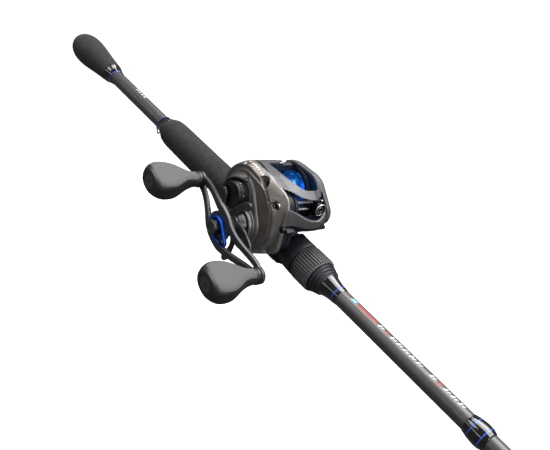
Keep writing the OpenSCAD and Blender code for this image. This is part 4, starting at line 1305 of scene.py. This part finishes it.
def line_guide_pieces():
    """Black carriage with a thin bright eye."""
    lo, hi = span("line_guide_ring")
    eye = (lo + hi) / 2
    r_eye = (hi.z - lo.z) / 2
    ring = lathe("line_guide_eye", "x", (0, eye.y, eye.z), fillet([
        (lo.x - 0.1, r_eye - 1.0), (lo.x - 0.1, r_eye - 0.2), (lo.x + 0.5, r_eye + 0.1),
        (hi.x - 0.4, r_eye + 0.1), (hi.x, r_eye - 0.35), (hi.x, r_eye - 1.0), (lo.x - 0.1, r_eye - 1.0)],
        0.3, 4), "ring", "carriage",
        seg=96)
    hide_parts("line_guide_ring")
    lathe("line_guide_hoop", "x", (0, eye.y, eye.z), fillet([
        (hi.x - 0.2, r_eye + 1.5), (hi.x + 0.35, r_eye + 1.55), (hi.x + 0.4, r_eye + 1.85),
        (hi.x - 0.2, r_eye + 1.95), (hi.x - 0.2, r_eye + 1.5)], 0.1, 3), "steel", "carriage", seg=96)
    lathe("line_guide_rim", "x", (0, eye.y, eye.z), fillet([
        (hi.x - 0.3, r_eye - 0.75), (hi.x + 0.12, r_eye - 0.7), (hi.x + 0.15, r_eye - 0.35),
        (hi.x - 0.3, r_eye - 0.2), (hi.x - 0.3, r_eye - 0.75)], 0.1, 3), "bright_screw", "carriage", seg=96)


# ---- carried-over CAD nodes ----

CAD_LOOKS = {
    "blank": ("rod_blank_butt", "tip_blank"),
    "lacquer": ("guide_wraps",),
    "guide": ("guide_1", "guide_2", "guide_3", "guide_4", "guide_5", "guide_6", "guide_7", "tip_top",
              "line_guide", "hook_keeper", "worm_shaft"),
    "ring": ("guide_rings",),
    "ceramic": ("line_guide_ring",),
    "steel": ("spool_bearings", "roller_bearing", "level_wind_rod", "drive_shaft", "knob_spindles",
              "spool_shaft", "retainer_screw"),
    "brass": ("drive_gear", "pinion_gear", "worm_gear"),
    "acetal": ("level_wind_gear", "idler_gear", "tension_shim"),
    "fibre": ("drag_washers",),
    "screw": ("cover_screws", "brake_ring"),
    "frame": ("reel_frame", "thumb_bar"),
    "foam": ("butt_grip", "rear_grip"),
    "seat": ("reel_seat",),
    "slide": ("sliding_hood",),
    "nut": ("lock_nut",),
    "cover": ("right_side_cover", "left_side_cover"),
    "hood": ("front_cover",),
    "crank": ("crank_arm", "star_drag"),
    "gloss": ("tension_knob", "brake_dial", "handle_nut", "butt_winding_check", "rear_winding_check",
              "front_winding_check", "ferrule_wrap"),
    "blue": ("nut_retainer",),
    "blue_ring": ("trim_rings",),
    "spool": ("spool",),
    "knob": ("knob_1", "knob_2"),
    "cap": ("knob_1_cap", "knob_2_cap"),
}


def dress_cad_nodes():
    """Gives every carried-over CAD node its material and smooth shading."""
    looks = {node: key for key, nodes in CAD_LOOKS.items() for node in nodes}
    for node, obj in frame["nodes"].items():
        material = M[looks[node]]
        obj.data.materials.clear()
        obj.data.materials.append(material)
        smooth_cad(obj)


def smooth_cad(obj):
    mesh = obj.data
    mesh.polygons.foreach_set("use_smooth", [True] * len(mesh.polygons))
    mod = obj.modifiers.new("soft_edges", "EDGE_SPLIT")
    mod.split_angle = math.radians(32)


# ---- stage ----

def stage_floor():
    """Pale floor well below the object, wide enough to reach the horizon."""
    size = 80.0
    low = -2.2
    rows = [[(-size, y, low), (size, y, low)] for y in (-size, -8.0, 8.0, size)]
    mesh = bpy.data.meshes.new("floor_sheet")
    verts = [p for row in rows for p in row]
    faces = [(2 * i, 2 * i + 1, 2 * i + 3, 2 * i + 2) for i in range(len(rows) - 1)]
    mesh.from_pydata(verts, [], faces)
    obj = bpy.data.objects.new("floor_sheet", mesh)
    bpy.context.scene.collection.objects.link(obj)
    mat, nodes, links, bsdf = new_material("studio_white_paper")
    vec = coords(nodes, links)
    tone = ramp(nodes, links, noise(nodes, links, vec, 3.0), [
        (0.3, (0.90, 0.90, 0.90)), (0.7, (0.93, 0.93, 0.93))])
    links.new(tone, bsdf.inputs["Base Color"])
    bsdf.inputs["Roughness"].default_value = 0.95
    bsdf.inputs["Emission Color"].default_value = (1, 1, 1, 1)
    bsdf.inputs["Emission Strength"].default_value = 1.0
    mesh.materials.append(mat)
    mesh.polygons.foreach_set("use_smooth", [True] * len(mesh.polygons))
    obj.visible_diffuse = False
    obj.visible_glossy = False


def light(name, place, target, size, power, colour=(1, 1, 1)):
    data = bpy.data.lights.new(name, "AREA")
    data.shape = "RECTANGLE"
    data.size, data.size_y = size
    data.energy = power
    data.color = colour
    obj = bpy.data.objects.new(name, data)
    bpy.context.scene.collection.objects.link(obj)
    obj.location = place
    obj.rotation_euler = (Vector(target) - Vector(place)).to_track_quat("-Z", "Y").to_euler()
    obj.visible_camera = False
    return obj


def lights_and_world():
    """Soft studio lights; the camera sees white where the lighting sees a dim grey."""
    world = bpy.data.worlds.new("studio")
    bpy.context.scene.world = world
    world.use_nodes = True
    bg = world.node_tree.nodes["Background"]
    bg.inputs["Color"].default_value = (1.0, 1.0, 1.0, 1)
    bg.inputs["Strength"].default_value = 0.11
    tree = world.node_tree
    seen = tree.nodes.new("ShaderNodeBackground")
    seen.inputs["Color"].default_value = (1.0, 1.0, 1.0, 1)
    seen.inputs["Strength"].default_value = 1.0
    path = tree.nodes.new("ShaderNodeLightPath")
    mix = tree.nodes.new("ShaderNodeMixShader")
    tree.links.new(path.outputs["Is Camera Ray"], mix.inputs["Fac"])
    tree.links.new(bg.outputs["Background"], mix.inputs[1])
    tree.links.new(seen.outputs["Background"], mix.inputs[2])
    tree.links.new(mix.outputs["Shader"], tree.nodes["World Output"].inputs["Surface"])
    at = (0.35, 0.0, 0.02)
    light("key", (-0.30, 0.5, 1.25), (-0.30, 0, 0.02), (2.2, 0.25), 10.0)
    light("side", (-0.35, -0.85, 1.0), at, (0.5, 0.5), 3.6)
    light("front", (1.5, -0.2, 0.6), at, (0.5, 0.5), 5.5)
    light("strip", (-0.6, -1.45, 0.42), (-0.6, 0, 0.0), (2.8, 0.12), 4.5)
    light("floor_wash", (0.6, 1.5, 3.0), (0.6, 3.0, -2.0), (4.0, 4.0), 300.0)


def camera():
    """The product view, from the handle side, above and a little ahead of the reel."""
    data = bpy.data.cameras.new("product_view")
    data.sensor_width = 36.0
    data.lens = 41.835
    data.clip_start = 0.01
    data.clip_end = 300.0
    data.dof.use_dof = False
    obj = bpy.data.objects.new("product_view", data)
    bpy.context.scene.collection.objects.link(obj)
    right = Vector((0.5758, 0.7532, 0.3181))
    up = Vector((-0.5573, 0.0769, 0.8268))
    back = right.cross(up).normalized()
    up = back.cross(right).normalized()
    spin = Matrix((right.normalized(), up, back)).transposed().to_4x4()
    spin.translation = Vector((616.78, -293.97, 213.5)) * MM
    obj.matrix_world = spin
    bpy.context.scene.camera = obj
    bpy.context.scene.view_settings.view_transform = "Standard"


make_materials()
dress_cad_nodes()
rod_pieces()
seat_pieces()
right_cover()
hood()
palm_cover()
reel_frame_pieces()
crank_arm()
star_drag()
tension_knob()
knob(0, "knob_a")
knob(1, "knob_b")
spool_pieces()
line_guide_pieces()
stage_floor()
lights_and_world()
camera()
